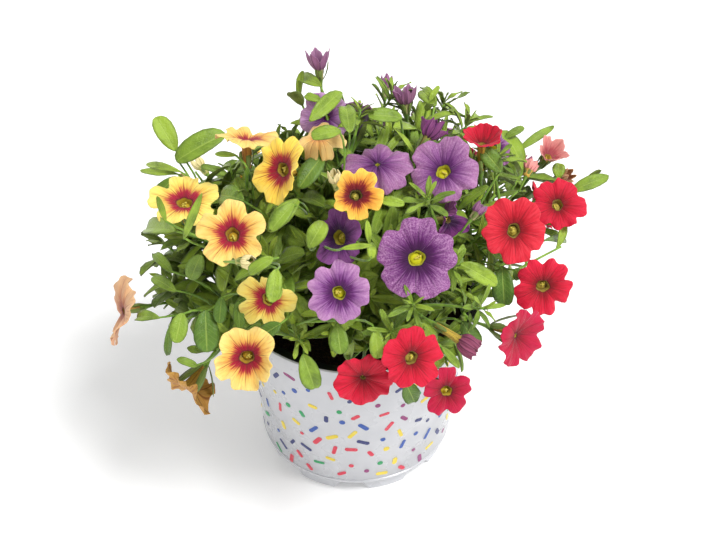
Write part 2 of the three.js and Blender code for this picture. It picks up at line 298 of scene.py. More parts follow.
class Tone(Enum):
    """Colour that a flower has, with its age.

    The colours stand in the order limb, outer, eye, heart, ring, seam, back, tube.
    """

    LEMON = PetalFinish("lemon", "#F0CA4C", "#F6E87C", "#B41838", "#B69A20", "#5C0C26", "#84301E",
                        "#F6DE9C", "#E6CC50")
    GOLD = PetalFinish("gold", "#FCC83A", "#FFE460", "#A8102A", "#A88C22", "#500818", "#7C2A18",
                       "#F2C474", "#E2BC40", eye_reach=0.46)
    APRICOT = PetalFinish("apricot", "#F0B84A", "#F6DC82", "#AE1432", "#B08C20", "#580C20", "#7C3420",
                          "#F4CA8C", "#DCA24C")
    PEACH = PetalFinish("peach", "#F4BE68", "#FADC92", "#D4884C", "#B08C20", "#7A2C24", "#9A5030",
                        "#F8D698", "#DCA24C", eye_reach=0.32)
    CREAM = PetalFinish("cream", "#EEDC98", "#F4E8B6", "#C8B458", "#B69A20", "#8A7830", "#A0924A",
                        "#F0E2A8", "#C4C878", eye_reach=0.3, veins=0.5)
    ORANGE = PetalFinish("orange", "#E48E2A", "#F6D256", "#8A1420", "#8E8430", "#2C0812", "#7A2014",
                         "#EE9C4C", "#DCAE3C", eye_reach=0.48, feather=0.7)
    AGED = PetalFinish("aged", "#CC8C60", "#ECC292", "#B46C5C", "#A8862C", "#6A2028", "#9A5848",
                       "#E2AC88", "#D8B450", eye_reach=0.34, veins=0.5)
    RUST = PetalFinish("rust", "#AC742E", "#D0A04E", "#7A2A2C", "#9C7A26", "#5E1C24", "#70321A",
                       "#C8964C", "#D2AC48", eye_reach=0.34, veins=0.6)
    VIOLET = PetalFinish("violet", "#621E68", "#874884", "#480C4C", "#C6C21E", "#26082C", "#380C3C",
                         "#D0A2C8", "#9C8FA0", eye_reach=0.42, speckle=0.6)
    LILAC = PetalFinish("lilac", "#80408A", "#B884B0", "#5C1A62", "#C4BE22", "#320E3C", "#4C1C54",
                        "#D2A8CC", "#9C8FA0", eye_reach=0.42, feather=0.7, speckle=0.3)
    # a paler copy of LILAC: painted light, for a flower that sits in the shade of leaves
    HEATHER = PetalFinish("painted_lit_lilac", "#9C60A8", "#D4A6D2", "#743080", "#C4BE22", "#40184C", "#602A6C",
                          "#E0BEDE", "#9C8FA0", eye_reach=0.36, feather=0.7, speckle=0.3)
    DUSK = PetalFinish("dusk", "#60246A", "#8A4A8C", "#441450", "#B8AC28", "#24082E", "#300A38",
                       "#9C6AA0", "#8E8098", eye_reach=0.42, speckle=0.3)
    ORCHID = PetalFinish("orchid", "#76387C", "#A66E9A", "#5C2064", "#C4BE22", "#320E3C", "#4C1C54",
                         "#D2A8CC", "#9C8FA0", eye_reach=0.34, speckle=0.4)
    WILTED = PetalFinish("wilted", "#581C5C", "#84387E", "#3C1042", "#7E6A30", "#280A30", "#300C34",
                         "#864878", "#A8A048", veins=0.6)
    MAUVE = PetalFinish("mauve", "#845078", "#AA7C9C", "#5E2C58", "#C8BC54", "#5A3058", "#542A50",
                        "#9C688C", "#C6C47C", veins=0.6)
    FURLED = PetalFinish("furled", "#7A3450", "#AC6078", "#4C1A34", "#C8BC54", "#481834", "#441834",
                         "#96506A", "#DCC04A", veins=0.7)
    CORAL = PetalFinish("coral", "#C60E28", "#E02C3E", "#A6081C", "#A8963A", "#680E16", "#7C081A",
                        "#E4525E", "#D8B040", eye_reach=0.38, veins=0.5)
    CRIMSON = PetalFinish("crimson", "#BE0426", "#DA163A", "#98041A", "#A8923A", "#680C16", "#720618",
                          "#C02C48", "#D8B040", eye_reach=0.36, veins=0.5)
    CERISE = PetalFinish("cerise", "#A8082C", "#C41644", "#940824", "#C8B02C", "#48081A", "#700622",
                         "#B02048", "#D8B040", eye_reach=0.38, veins=0.4)
    SALMON = PetalFinish("salmon", "#DC8280", "#F0ACA2", "#BC5A60", "#DCC050", "#A04C56", "#AC5A5E",
                         "#EC9E96", "#E2C840", veins=0.5)


@dataclass(frozen=True)
class LeafFinish:
    """Leaf of a small-flowered petunia: soft, slightly sticky and finely hairy.

    It is matt with a broad soft shine, brighter and yellower while it is young, with a pale
    midrib and hardly any side veins.
    """

    name: str
    young: str
    mature: str
    rib: str
    shade: str  # colour of the darker clouds
    roughness: float

    def make(self) -> Material:
        """Makes the material of one side of the leaves.

        Returns:
            The material.
        """
        recipe = Recipe(self.name, Sheen_Weight=0.12, Sheen_Roughness=0.4,
                        Specular_IOR_Level=0.35)
        blade = recipe.add("Attribute", {}, "Vector", attribute_name=BLADE_LAYER)
        across = recipe.add("SeparateXYZ", {0: blade})
        along, fresh = across.node.outputs[1], across.node.outputs[2]
        place = recipe.add("TexCoord", {}, "Object")
        # clouds about 8 mm across
        cloud = recipe.add("TexNoise", {"Vector": place, "Scale": 1 / (8 * MM), "Detail": 3.0})
        cloudy = recipe.add("MapRange", {0: cloud, 1: 0.45, 2: 0.75, 3: 0.0, 4: 0.7})
        side = recipe.add("Math", {0: across}, operation="ABSOLUTE")
        # side veins leave the midrib every eighth of the blade and bend towards its tip
        bent = recipe.add("Math", {0: side, 1: -0.22, 2: along}, operation="MULTIPLY_ADD")
        wave = recipe.add("Math", {0: bent, 1: 8 * math.tau}, operation="MULTIPLY")
        ripple = recipe.add("Math", {0: wave}, operation="SINE")
        vein = recipe.add("MapRange", {0: ripple, 1: 0.75, 2: 1.0, 3: 0.0, 4: 0.12})
        rib = recipe.add("MapRange", {0: side, 1: 0.02, 2: 0.1, 3: 0.5, 4: 0.0})
        pale = recipe.add("Math", {0: vein, 1: rib}, operation="MAXIMUM")
        edge = recipe.add("MapRange", {0: side, 1: 0.8, 2: 1.0, 3: 0.0, 4: 0.45})
        colour: NodeSocket | str = self.mature
        for amount, layer in ((fresh, self.young), (cloudy, self.shade), (pale, self.rib),
                              (edge, self.shade)):
            colour = recipe.add("Mix", {0: amount, 6: colour, 7: layer}, 2, data_type="RGBA")
        # grain about 0.8 mm across, from the fine hairs
        grain = recipe.add("TexNoise", {"Vector": place, "Scale": 1 / (0.8 * MM), "Detail": 2.0})
        rough = recipe.add("MapRange", {0: grain, 3: self.roughness - 0.12, 4: self.roughness + 0.12})
        dip = recipe.add("Math", {0: pale, 1: -0.8, 2: grain}, operation="MULTIPLY_ADD")
        return recipe.finish(colour, rough, dip, relief=0.4)


LEAF_FACE = LeafFinish("leaf_upper_side", "#A6C03C", "#5E822E", "#AEC65C", "#3C5418", 0.38)
LEAF_BACK = LeafFinish("leaf_underside", "#90A448", "#5C7034", "#A2B464", "#465628", 0.6)


def stem_finish() -> Material:
    """Soft green stem, downy, so its light is broad; darker here and there.

    Returns:
        The material.
    """
    recipe = Recipe("downy_stem", Roughness=0.55, Sheen_Weight=0.2, Specular_IOR_Level=0.3)
    place = recipe.add("TexCoord", {}, "Object")
    # clouds about 5 mm across
    cloud = recipe.add("TexNoise", {"Vector": place, "Scale": 1 / (5 * MM), "Detail": 2.0})
    share = recipe.add("MapRange", {0: cloud, 1: 0.35, 2: 0.7})
    colour = recipe.add("Mix", {0: share, 6: "#8AB03E", 7: "#5A8228"}, 2, data_type="RGBA")
    return recipe.finish(colour, height=cloud, relief=0.2)


def anther_finish() -> Material:
    """Anthers and stigma, dusted with pale pollen, so they are matt and grainy.

    Returns:
        The material.
    """
    recipe = Recipe("pollen_dusted_anther", Roughness=0.8, Specular_IOR_Level=0.2)
    place = recipe.add("TexCoord", {}, "Object")
    # pollen is finer than this: 0.3 mm is what still shows
    grain = recipe.add("TexNoise", {"Vector": place, "Scale": 1 / (0.3 * MM), "Detail": 1.0})
    colour = recipe.add("Mix", {0: grain, 6: "#E2D268", 7: "#A8962C"}, 2, data_type="RGBA")
    return recipe.finish(colour, height=grain, relief=0.1)


def peat_finish() -> Material:
    """Damp peat compost: nearly black, with brown fibres, and matt.

    Returns:
        The material.
    """
    recipe = Recipe("peat_compost", Specular_IOR_Level=0.3)
    place = recipe.add("TexCoord", {}, "Object")
    # crumbs about 3 mm and fibres about 1 mm
    crumb = recipe.add("TexVoronoi", {"Vector": place, "Scale": 1 / (3 * MM)})
    fibre = recipe.add("TexNoise", {"Vector": place, "Scale": 1 / (1.2 * MM), "Detail": 4.0})
    share = recipe.add("MapRange", {0: fibre, 1: 0.4, 2: 0.75})
    colour = recipe.add("Mix", {0: share, 6: "#1C1510", 7: "#4A3525"}, 2, data_type="RGBA")
    rough = recipe.add("MapRange", {0: fibre, 3: 0.7, 4: 0.95})
    height = recipe.add("Math", {0: crumb, 1: fibre}, operation="ADD")
    return recipe.finish(colour, rough, height, relief=0.8)


@dataclass(frozen=True)
class PotPlastic:
    """Thermoformed polypropylene: glossy, with a faint orange peel and rub marks."""

    name: str
    colour: str
    worn: str  # colour of the rub marks
    gloss: float  # roughness where it is least rubbed

    def make(self) -> Material:
        """Makes the material.

        Returns:
            The material.
        """
        recipe = Recipe(self.name, IOR=1.49, Coat_Weight=0.15, Coat_Roughness=0.2)
        place = recipe.add("TexCoord", {}, "Object")
        # orange peel about 4 mm across, rub marks about 15 mm
        peel = recipe.add("TexNoise", {"Vector": place, "Scale": 1 / (4 * MM), "Detail": 1.0})
        mark = recipe.add("TexNoise", {"Vector": place, "Scale": 1 / (15 * MM), "Detail": 5.0})
        worn = recipe.add("MapRange", {0: mark, 1: 0.5, 2: 0.75, 3: 0.0, 4: 0.35})
        colour = recipe.add("Mix", {0: worn, 6: self.colour, 7: self.worn}, 2, data_type="RGBA")
        rough = recipe.add("MapRange", {0: mark, 1: 0.3, 2: 0.7, 3: self.gloss, 4: self.gloss + 0.15})
        return recipe.finish(colour, rough, peel, relief=0.012)


def ink_finish(name: str, colour: str) -> Material:
    """Screen ink on the pot: opaque and a little duller than the plastic round it.

    Args:
        name: the ink's name.
        colour: its hex colour.

    Returns:
        The material.
    """
    recipe = Recipe("screen_ink_" + name, Roughness=0.38)
    place = recipe.add("TexCoord", {}, "Object")
    # thinner patches about 1.5 mm across
    patch = recipe.add("TexNoise", {"Vector": place, "Scale": 1 / (1.5 * MM), "Detail": 2.0})
    thin = recipe.add("MapRange", {0: patch, 1: 0.55, 2: 0.8, 3: 0.0, 4: 0.15})
    pale = recipe.add("Mix", {0: thin, 6: colour, 7: "#F0F0EE"}, 2, data_type="RGBA")
    return recipe.finish(pale)


INKS = {
    "yellow": "#E8CF3C",
    "red": "#D8304A",
    "green": "#0F9A58",
    "navy": "#26306E",
    "blue": "#2450A4",
    "plum": "#8E2C6E",
}


# ---------------- mesh helpers


def polar(radius: float, angle: float, height: float = 0.0) -> Vector:
    """The point at a distance and direction from an axis, and at a height along it."""
    return Vector((radius * math.cos(angle), radius * math.sin(angle), height))


def slab(columns: int, rows: int, rounded: bool = False) -> Mesh:
    """Makes a thin closed sheet that other pieces are bent from.

    Args:
        columns: faces across.
        rows: faces along.
        rounded: whether the rows crowd at both ends, for a blade with a round base and tip.

    Returns:
        A mesh from -1 to 1 across X, 0 to 1 along Y and 0 down to -1 in Z.
    """
    bm = bmesh.new()
    bmesh.ops.create_grid(bm, x_segments=columns, y_segments=rows, size=1.0)
    bmesh.ops.translate(bm, vec=(0, 1, 0), verts=bm.verts)
    bmesh.ops.scale(bm, vec=(1, 0.5, 1), verts=bm.verts)
    if rounded:
        for vert in bm.verts:
            vert.co.y = vert.co.y**2 * (3 - 2 * vert.co.y)
    return template_mesh(bm)


def dot(sides: int) -> Mesh:
    """Makes a thin closed round plate that other pieces are bent from.

    Args:
        sides: how many sides it has.

    Returns:
        A mesh of radius 1, from 0 down to -1 in Z.
    """
    bm = bmesh.new()
    turn = Matrix.Rotation(math.pi / sides, 4, "Z")
    bmesh.ops.create_circle(bm, cap_ends=True, radius=1.0, segments=sides, matrix=turn)
    return template_mesh(bm)


def template_mesh(bm: BMesh) -> Mesh:
    """Thickens a flat bmesh by 1 and keeps it as a mesh to stamp from.

    Args:
        bm: the flat shape.

    Returns:
        A mesh from 0 down to -1 in Z, with its upper faces in slot 0 and the others in slot 1.
    """
    bmesh.ops.solidify(bm, geom=bm.faces[:], thickness=1.0)
    top = max(v.co.z for v in bm.verts)
    bmesh.ops.translate(bm, vec=(0, 0, -top), verts=bm.verts)
    bmesh.ops.recalc_face_normals(bm, faces=bm.faces)
    bm.normal_update()
    for face in bm.faces:
        face.material_index = 0 if face.normal.z > 0.5 else 1
    mesh = bpy.data.meshes.new("template")
    bm.to_mesh(mesh)
    bm.free()
    return mesh


def stamp(bm: BMesh, template: Mesh, bend: Callable[[Vector], Vector], slots: tuple[int, int],
          fresh: float | None = None) -> None:
    """Adds one bent copy of a template.

    Args:
        bm: the mesh that gets the copy.
        template: the flat sheet.
        bend: takes a point of the flat sheet to its place.
        slots: the material slots of its upper and lower faces.
        fresh: for a leaf, how young it is; its flat coordinates are kept with it.
    """
    verts, faces = len(bm.verts), len(bm.faces)
    bm.from_mesh(template)
    bm.verts.ensure_lookup_table()
    bm.faces.ensure_lookup_table()
    blade = bm.verts.layers.float_vector.get(BLADE_LAYER)
    for vert in bm.verts[verts:]:
        if blade is not None and fresh is not None:
            vert[blade] = (vert.co.x, vert.co.y, fresh)
        vert.co = bend(vert.co)
    for face in bm.faces[faces:]:
        face.material_index = slots[face.material_index]


def turned(profile: Sequence[tuple[float, float]], steps: int) -> BMesh:
    """Spins a profile of (radius, height) points about Z, closed where it meets the axis or itself.

    Args:
        profile: the points; it starts and ends on the axis, or ends where it starts.
        steps: faces around.

    Returns:
        The spun mesh, with its faces pointing out.
    """
    bm = bmesh.new()
    row = [bm.verts.new((r, 0, z)) for r, z in profile]
    edges = [bm.edges.new(pair) for pair in zip(row, row[1:])]
    bmesh.ops.spin(bm, geom=row + edges, cent=(0, 0, 0), axis=(0, 0, 1), angle=math.tau,
                   steps=steps, use_merge=True)
    bmesh.ops.remove_doubles(bm, verts=bm.verts, dist=1e-4)
    bmesh.ops.recalc_face_normals(bm, faces=bm.faces)
    return bm


def sweep(bm: BMesh, path: Sequence[Vector], radii: Sequence[float], sides: int, slot: int) -> None:
    """Adds a round stem with closed ends along a path.

    Args:
        bm: the mesh that gets the stem.
        path: the points of its middle line.
        radii: its radius at each point.
        sides: faces around.
        slot: its material slot.
    """
    faces = len(bm.faces)
    heading = (path[1] - path[0]).normalized()
    turn = heading.to_track_quat("Z", "Y")
    place = Matrix.Translation(path[0]) @ turn.to_matrix().to_4x4()
    made = bmesh.ops.create_circle(bm, cap_ends=True, radius=radii[0], segments=sides, matrix=place)
    cap = made["verts"][0].link_faces[0]
    for i in range(1, len(path)):
        following = (path[min(i + 1, len(path) - 1)] - path[i - 1]).normalized()
        swing = heading.rotation_difference(following).to_matrix().to_4x4()
        grow = Matrix.Scale(radii[i] / radii[i - 1], 4)
        moved = Matrix.Translation(path[i]) @ swing @ grow @ Matrix.Translation(-path[i - 1])
        new = bmesh.ops.extrude_face_region(bm, geom=[cap])["geom"]
        verts = [item for item in new if isinstance(item, bmesh.types.BMVert)]
        cap = next(item for item in new if isinstance(item, bmesh.types.BMFace))
        bmesh.ops.transform(bm, matrix=moved, verts=verts)
        heading = following
    bm.faces.ensure_lookup_table()
    for face in bm.faces[faces:]:
        face.material_index = slot


def piece(bm: BMesh, name: str, materials: Sequence[Material],
          nodes: Sequence[str] = (), sharp: float | None = None) -> Object:
    """Turns a shaped bmesh into a finished piece that rides with the pot.

    Args:
        bm: the shape in millimetres.
        name: the piece's name.
        materials: its materials in slot order.
        nodes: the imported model's nodes that it stands for.
        sharp: the angle in degrees above which an edge stays crisp.

    Returns:
        The object.
    """
    bmesh.ops.scale(bm, vec=(MM, MM, MM), verts=bm.verts)
    mesh = bpy.data.meshes.new(name)
    bm.to_mesh(mesh)
    bm.free()
    mesh.shade_smooth()
    if sharp is not None:
        mesh.set_sharp_from_angle(angle=math.radians(sharp))
    for material in materials:
        mesh.materials.append(material)
    shaped = bpy.data.objects.new(name, mesh)
    bpy.context.scene.collection.objects.link(shaped)
    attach(shaped, "root")
    if nodes:
        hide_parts(*nodes)
    log.info("%s: %d faces", name, len(mesh.polygons))
    return shaped


# ---------------- studio


@dataclass
class Studio:
    """Pale floor, soft lights and a camera above the front of the planting."""

    eye: Vector = field(default_factory=lambda: Vector((0.8, -702.0, 746.0)))  # millimetres
    lens: float = 92.4
    sensor: float = 36.0
    floor_size: float = 40.0  # metres
    floor_drop: float = 0.0005  # metres under the feet
    horizon: tuple[float, float] = (0.12, 0.3)  # sines of the heights between which white dims
    room_light: float = 0.42  # how white it is overhead
    key_strength: float = 3.0
    key_spread: float = 22.0  # degrees
    key_from: tuple[float, float, float] = (0.5, -0.32, 1.0)
    # each softbox's name, place and watts, in metres
    softboxes: tuple[tuple[str, tuple[float, float, float], float], ...] = (
        ("side_softbox", (-1.3, -0.8, 1.2), 2.0),
        ("back_softbox", (-0.2, 1.0, 1.5), 5.0),
    )
    softbox_side: float = 1.0
    aim: tuple[float, float, float] = (0.0, 0.0, 0.12)

    def build(self) -> None:
        """Makes the floor, the world, the lights and the camera."""
        scene = bpy.context.scene
        scene.view_settings.view_transform = "Standard"
        self._floor()
        self._world()
        self._key()
        for name, place, watts in self.softboxes:
            self._softbox(name, place, watts)
        data = bpy.data.cameras.new("camera")
        data.lens = self.lens
        data.sensor_width = self.sensor
        camera = bpy.data.objects.new("camera", data)
        camera.location = self.eye * MM
        camera.rotation_euler = (math.pi / 2 - VIEW_PITCH, 0, 0)
        scene.collection.objects.link(camera)
        scene.camera = camera

    def _floor(self) -> None:
        """Makes the pale floor."""
        bm = bmesh.new()
        bmesh.ops.create_grid(bm, x_segments=1, y_segments=1, size=self.floor_size / 2)
        mesh = bpy.data.meshes.new("floor")
        bm.to_mesh(mesh)
        bm.free()
        floor = bpy.data.objects.new("floor", mesh)
        floor.location.z = -self.floor_drop
        recipe = Recipe("opal_light_table", Roughness=0.9, Specular_IOR_Level=0.1, Base_Color="#F0F0F0",
                        Emission_Color="#FFFFFF", Emission_Strength=0.2)
        mesh.materials.append(recipe.material)
        bpy.context.scene.collection.objects.link(floor)

    def _world(self) -> None:
        """Makes the white surroundings: full white along the horizon, dimmer overhead."""
        world = bpy.data.worlds.new("white_room")
        world.use_nodes = True
        nodes, links = world.node_tree.nodes, world.node_tree.links
        heading = nodes.new("ShaderNodeTexCoord")
        height = nodes.new("ShaderNodeSeparateXYZ")
        strength = nodes.new("ShaderNodeMapRange")
        for socket, value in zip(strength.inputs[1:5], (*self.horizon, 1.0, self.room_light)):
            socket.default_value = value
        links.new(heading.outputs["Generated"], height.inputs[0])
        links.new(height.outputs["Z"], strength.inputs[0])
        links.new(strength.outputs[0], nodes["Background"].inputs["Strength"])
        nodes["Background"].inputs["Color"].default_value = linear("#FFFFFF")
        bpy.context.scene.world = world

    def _key(self) -> None:
        """Makes the wide key light, high up at the right in front, the same all over the floor."""
        data = bpy.data.lights.new("key_light", "SUN")
        data.energy = self.key_strength
        data.angle = math.radians(self.key_spread)
        key = bpy.data.objects.new("key_light", data)
        key.rotation_euler = Vector(self.key_from).to_track_quat("Z", "Y").to_euler()
        bpy.context.scene.collection.objects.link(key)

    def _softbox(self, name: str, place: tuple[float, float, float], watts: float) -> None:
        """Makes one square softbox that faces the plants.

        Args:
            name: the light's name.
            place: where it stands, in metres.
            watts: its power.
        """
        data = bpy.data.lights.new(name, "AREA")
        data.size = self.softbox_side
        data.energy = watts
        light = bpy.data.objects.new(name, data)
        light.location = place
        sight = Vector(self.aim) - Vector(place)
        light.rotation_euler = sight.to_track_quat("-Z", "Y").to_euler()
        bpy.context.scene.collection.objects.link(light)


# ---------------- pot and compost


@dataclass
class Pot:
    """White nursery pot with a black inside, a stepped lip, feet and a printed scatter."""

    height: float = 105.0
    lip_radius: float = 66.0
    lip_drop: float = 11.0
    mouth_radius: float = 60.2
    wall: float = 1.6
    base_radius: float = 51.0
    base_edge: float = 7.5
    foot_radius: float = 48.5
    foot_height: float = 6.5
    foot_wall: float = 2.6
    foot_count: int = 8
    foot_turn: float = -3.0  # degrees from the front to the first gap
    foot_overlap: float = 0.4  # how far a foot runs into the floor
    gap_at_sole: float = 19.0
    gap_at_top: float = 9.0
    floor: float = 1.6
    drain_count: int = 6
    drain_radius: float = 3.5
    drain_circle: float = 30.0
    drain_turn: float = 30.0  # degrees
    steps: int = 144
    crisp: float = 38.0  # degrees above which an edge stays sharp
    print_count: int = 235
    print_tries: int = 9000
    print_apart: float = 8.2
    print_low: float = 5.0  # bare stretch above the wall's lower edge
    print_high: float = 3.5  # bare stretch under the lip
    print_dots: float = 0.36  # share that are round dots
    print_proud: float = 0.14
    print_sunk: float = 0.25

    def wall_radius(self, z: float) -> float:
        """Outside radius of the wall at a height."""
        share = (z - self.base_edge) / (self.height - self.base_edge)
        return self.base_radius + share * (self.mouth_radius - self.base_radius)

    def on_wall(self, z: float, proud: float = 0.0) -> tuple[float, float]:
        """Radius and height of a point that stands proud of the wall's outside."""
        return self.wall_radius(z) + proud, z

    def build(self) -> None:
        """Makes the moulding with its feet, and the print on it."""
        white = PotPlastic("white_polypropylene", "#C6C7CB", "#B8BAC0", 0.22).make()
        black = PotPlastic("black_polypropylene", "#17171C", "#2A2A33", 0.22).make()
        bm = turned(self._profile(), self.steps)
        for face in bm.faces:
            face.material_index = 1 if self._is_inside(face.calc_center_median()) else 0
        body = piece(bm, "pot_moulding", [white, black], ["pot"], sharp=self.crisp)
        self._drain(body)
        bm = bmesh.new()
        foot = slab(14, 3)
        for index in range(self.foot_count):
            stamp(bm, foot, self._foot_bend(index), (0, 0))
        piece(bm, "pot_feet", [white], sharp=self.crisp)
        self._print()

    def _profile(self) -> list[tuple[float, float]]:
        """The section of the moulding.

        Returns:
            Its points, as radius and height, from under its floor round its lip to its inner floor.
        """
        lip, top, skirt = self.lip_radius, self.height, self.height - self.lip_drop
        edge, under_lip = self.base_edge, top - self.wall
        floor_top = self.foot_height + self.floor
        inside = self.mouth_radius - self.wall
        return [
            (0, self.foot_height),
            (self.foot_radius - self.foot_wall, self.foot_height),
            (self.foot_radius + 0.3, self.foot_height),
            (self.base_radius - 0.8, edge - 0.7),
            (self.base_radius - 0.1, edge - 0.2),
            # a bead and a groove run round the foot of the wall
            self.on_wall(edge + 0.6, 0.15),
            self.on_wall(edge + 1.6, 0.15),
            self.on_wall(edge + 1.9, -0.3),
            self.on_wall(edge + 2.3, -0.3),
            self.on_wall(edge + 2.7),
            self.on_wall(skirt - 8),
            self.on_wall(under_lip),
            # the lip turns over, down inside its skirt and up again outside
            (lip - self.wall - 0.4, under_lip),
            (lip - self.wall - 0.9, skirt + 0.3),
            (lip - self.wall - 0.5, skirt),
            (lip - 1.0, skirt),
            (lip - 0.7, skirt + 0.3),
            (lip - 0.2, top - 1.6),
            (lip - 0.3, top - 0.7),
            (lip - 0.9, top - 0.1),
            (lip - 1.6, top),
            # its top goes down to the mouth in small steps
            (lip - 2.0, top - 0.5),
            (lip - 3.0, top - 0.6),
            (lip - 3.3, top - 1.2),
            (lip - 4.4, top - 1.3),
            (lip - 4.8, top - 2.1),
            (inside + 0.3, top - 2.4),
            (inside - 0.1, top - 3.4),
            (inside - 0.7, top - 3.8),
            (inside - 0.9, top - 6.0),
            self.on_wall(floor_top + 3, -self.wall),
            (self.wall_radius(floor_top) - self.wall - 2.5, floor_top),
            (0, floor_top),
        ]

    def _is_inside(self, centre: Vector) -> bool:
        """Whether a face of the moulding belongs to its black inside, the lip's top included.

        Args:
            centre: the face's middle.

        Returns:
            True for a black face.
        """
        radius = math.hypot(centre.x, centre.y)
        if centre.z > self.height - 2.5:
            return radius < self.lip_radius - 1.0
        return radius < self.wall_radius(centre.z) - self.wall / 2 and centre.z > self.foot_height + 0.5

    def _foot_bend(self, index: int) -> Callable[[Vector], Vector]:
        """How a slab becomes one foot between two gaps that widen towards the sole.

        Args:
            index: which foot.

        Returns:
            The bend.
        """
        pitch = math.tau / self.foot_count
        middle = math.radians(self.foot_turn - 90) + pitch * (index + 0.5)

        def bend(point: Vector) -> Vector:
            """Takes a point of the slab to the foot.

            Args:
                point: the slab's point.

            Returns:
                The foot's.
            """
            gap = self.gap_at_sole + (self.gap_at_top - self.gap_at_sole) * point.y
            half = pitch / 2 - gap / 2 / self.foot_radius
            radius = self.foot_radius + 0.5 * point.y + point.z * self.foot_wall
            height = point.y * (self.foot_height + self.foot_overlap)
            return polar(radius, middle + point.x * half, height)

        return bend

    def _drain(self, body: Object) -> None:
        """Cuts the drain holes through the floor.

        Args:
            body: the moulding.
        """
        bm = bmesh.new()
        for index in range(self.drain_count):
            angle = math.radians(self.drain_turn) + math.tau * index / self.drain_count
            centre = polar(1, angle) * self.drain_circle
            centre.z = self.foot_height + self.floor / 2
            bmesh.ops.create_cone(bm, cap_ends=True, radius1=self.drain_radius * MM,
                                  radius2=self.drain_radius * MM, depth=4 * self.floor * MM,
                                  segments=20, matrix=Matrix.Translation(centre * MM))
        mesh = bpy.data.meshes.new("drain_cutters")
        bm.to_mesh(mesh)
        bm.free()
        cutters = bpy.data.objects.new("drain_cutters", mesh)
        bpy.context.scene.collection.objects.link(cutters)
        cut = body.modifiers.new("drain_holes", "BOOLEAN")
        cut.object = cutters
        cut.solver = "EXACT"
        with bpy.context.temp_override(object=body, active_object=body):
            bpy.ops.object.modifier_apply(modifier=cut.name)
        bpy.data.objects.remove(cutters)

    def _print(self) -> None:
        """Scatters round dots and short rounded dashes over the wall, each hardly proud of it."""
        rng = random.Random("pot print")
        bm = bmesh.new()
        plate = dot(14)
        low, high = self.base_edge + self.print_low, self.height - self.lip_drop - self.print_high
        placed: list[tuple[float, float]] = []
        for _ in range(self.print_tries):
            turn, z = rng.uniform(0, math.tau), rng.uniform(low, high)
            radius = self.wall_radius(z)
            gaps = (math.hypot(math.remainder(turn - a, math.tau) * radius, z - b) for a, b in placed)
            if any(gap < self.print_apart for gap in gaps):
                continue
            placed.append((turn, z))
            ink = rng.randrange(len(INKS))
            if rng.random() < self.print_dots:
                size, stretch = rng.uniform(1.1, 1.7), 0.0
            else:
                size, stretch = rng.uniform(0.95, 1.35), rng.uniform(1.2, 2.6)
            tilt = rng.uniform(0, math.pi)
            stamp(bm, plate, self._print_bend(turn, z, size, stretch, tilt), (ink, ink))
            if len(placed) == self.print_count:
                break
        materials = [ink_finish(name, colour) for name, colour in INKS.items()]
        piece(bm, "pot_print", materials, sharp=self.crisp)

    def _print_bend(self, turn: float, height: float, size: float, stretch: float,
                    tilt: float) -> Callable[[Vector], Vector]:
        """How a round plate becomes one printed dot or dash on the wall.

        Args:
            turn: its place round the pot, in radians.
            height: its height.
            size: half its width.
            stretch: what is added to its half length.
            tilt: how far its length is turned from level.

        Returns:
            The bend.
        """
        thick = self.print_proud + self.print_sunk

        def bend(point: Vector) -> Vector:
            """Takes a point of the plate to the dot or dash.

            Args:
                point: the plate's point.

            Returns:
                The dot's.
            """
            x = point.x * size + math.copysign(stretch, point.x)
            y = point.y * size
            along = x * math.cos(tilt) - y * math.sin(tilt)
            z = height + x * math.sin(tilt) + y * math.cos(tilt)
            radius = self.wall_radius(z) + self.print_proud + point.z * thick
            return polar(radius, turn + along / radius, z)

        return bend


@dataclass
class Compost:
    """Crumbly compost that fills the pot to just under its lip."""

    pot: Pot
    level: float = 92.0
    mound: float = 2.0  # how much higher its middle is
    fit: float = 0.3  # gap to the pot
    roughness: float = 1.2
    lump: float = 0.35  # noise units in a millimetre: lumps are about 3 mm across
    rings: int = 14
    steps: int = 72
    crumbs: int = 260

    def build(self) -> None:
        """Makes the compost with loose crumbs on it."""
        pot = self.pot
        edge = pot.wall_radius(self.level) - pot.wall - self.fit
        floor_top = pot.foot_height + pot.floor + self.fit
        profile = [(0, floor_top), (pot.wall_radius(floor_top) - pot.wall - 3, floor_top)]
        profile += [(pot.wall_radius(floor_top + 3) - pot.wall - self.fit, floor_top + 3)]
        radii = [edge * (1 - i / self.rings) for i in range(self.rings + 1)]
        profile += [(radius, self.height(radius)) for radius in radii]
        bm = turned(profile, self.steps)
        for vert in bm.verts:
            if vert.co.z > self.level - 0.5:
                vert.co.z += self.roughness * noise.noise(vert.co * self.lump)
        rng = random.Random("crumbs")
        for _ in range(self.crumbs):
            radius, turn = edge * math.sqrt(rng.random()) * 0.97, rng.uniform(0, math.tau)
            size = rng.uniform(0.6, 1.9)
            place = polar(radius, turn, self.height(radius) + 0.3)
            shape = Matrix.LocRotScale(place, None, (size, size * rng.uniform(0.6, 1), size * 0.7))
            bmesh.ops.create_icosphere(bm, subdivisions=1, radius=1.0, matrix=shape)
        piece(bm, "compost", [peat_finish()], ["soil"])

    def height(self, radius: float) -> float:
        """Height of the compost at a distance from the axis."""
        return self.level + self.mound * (1 - (radius / self.pot.mouth_radius) ** 2)


# ---------------- flowers


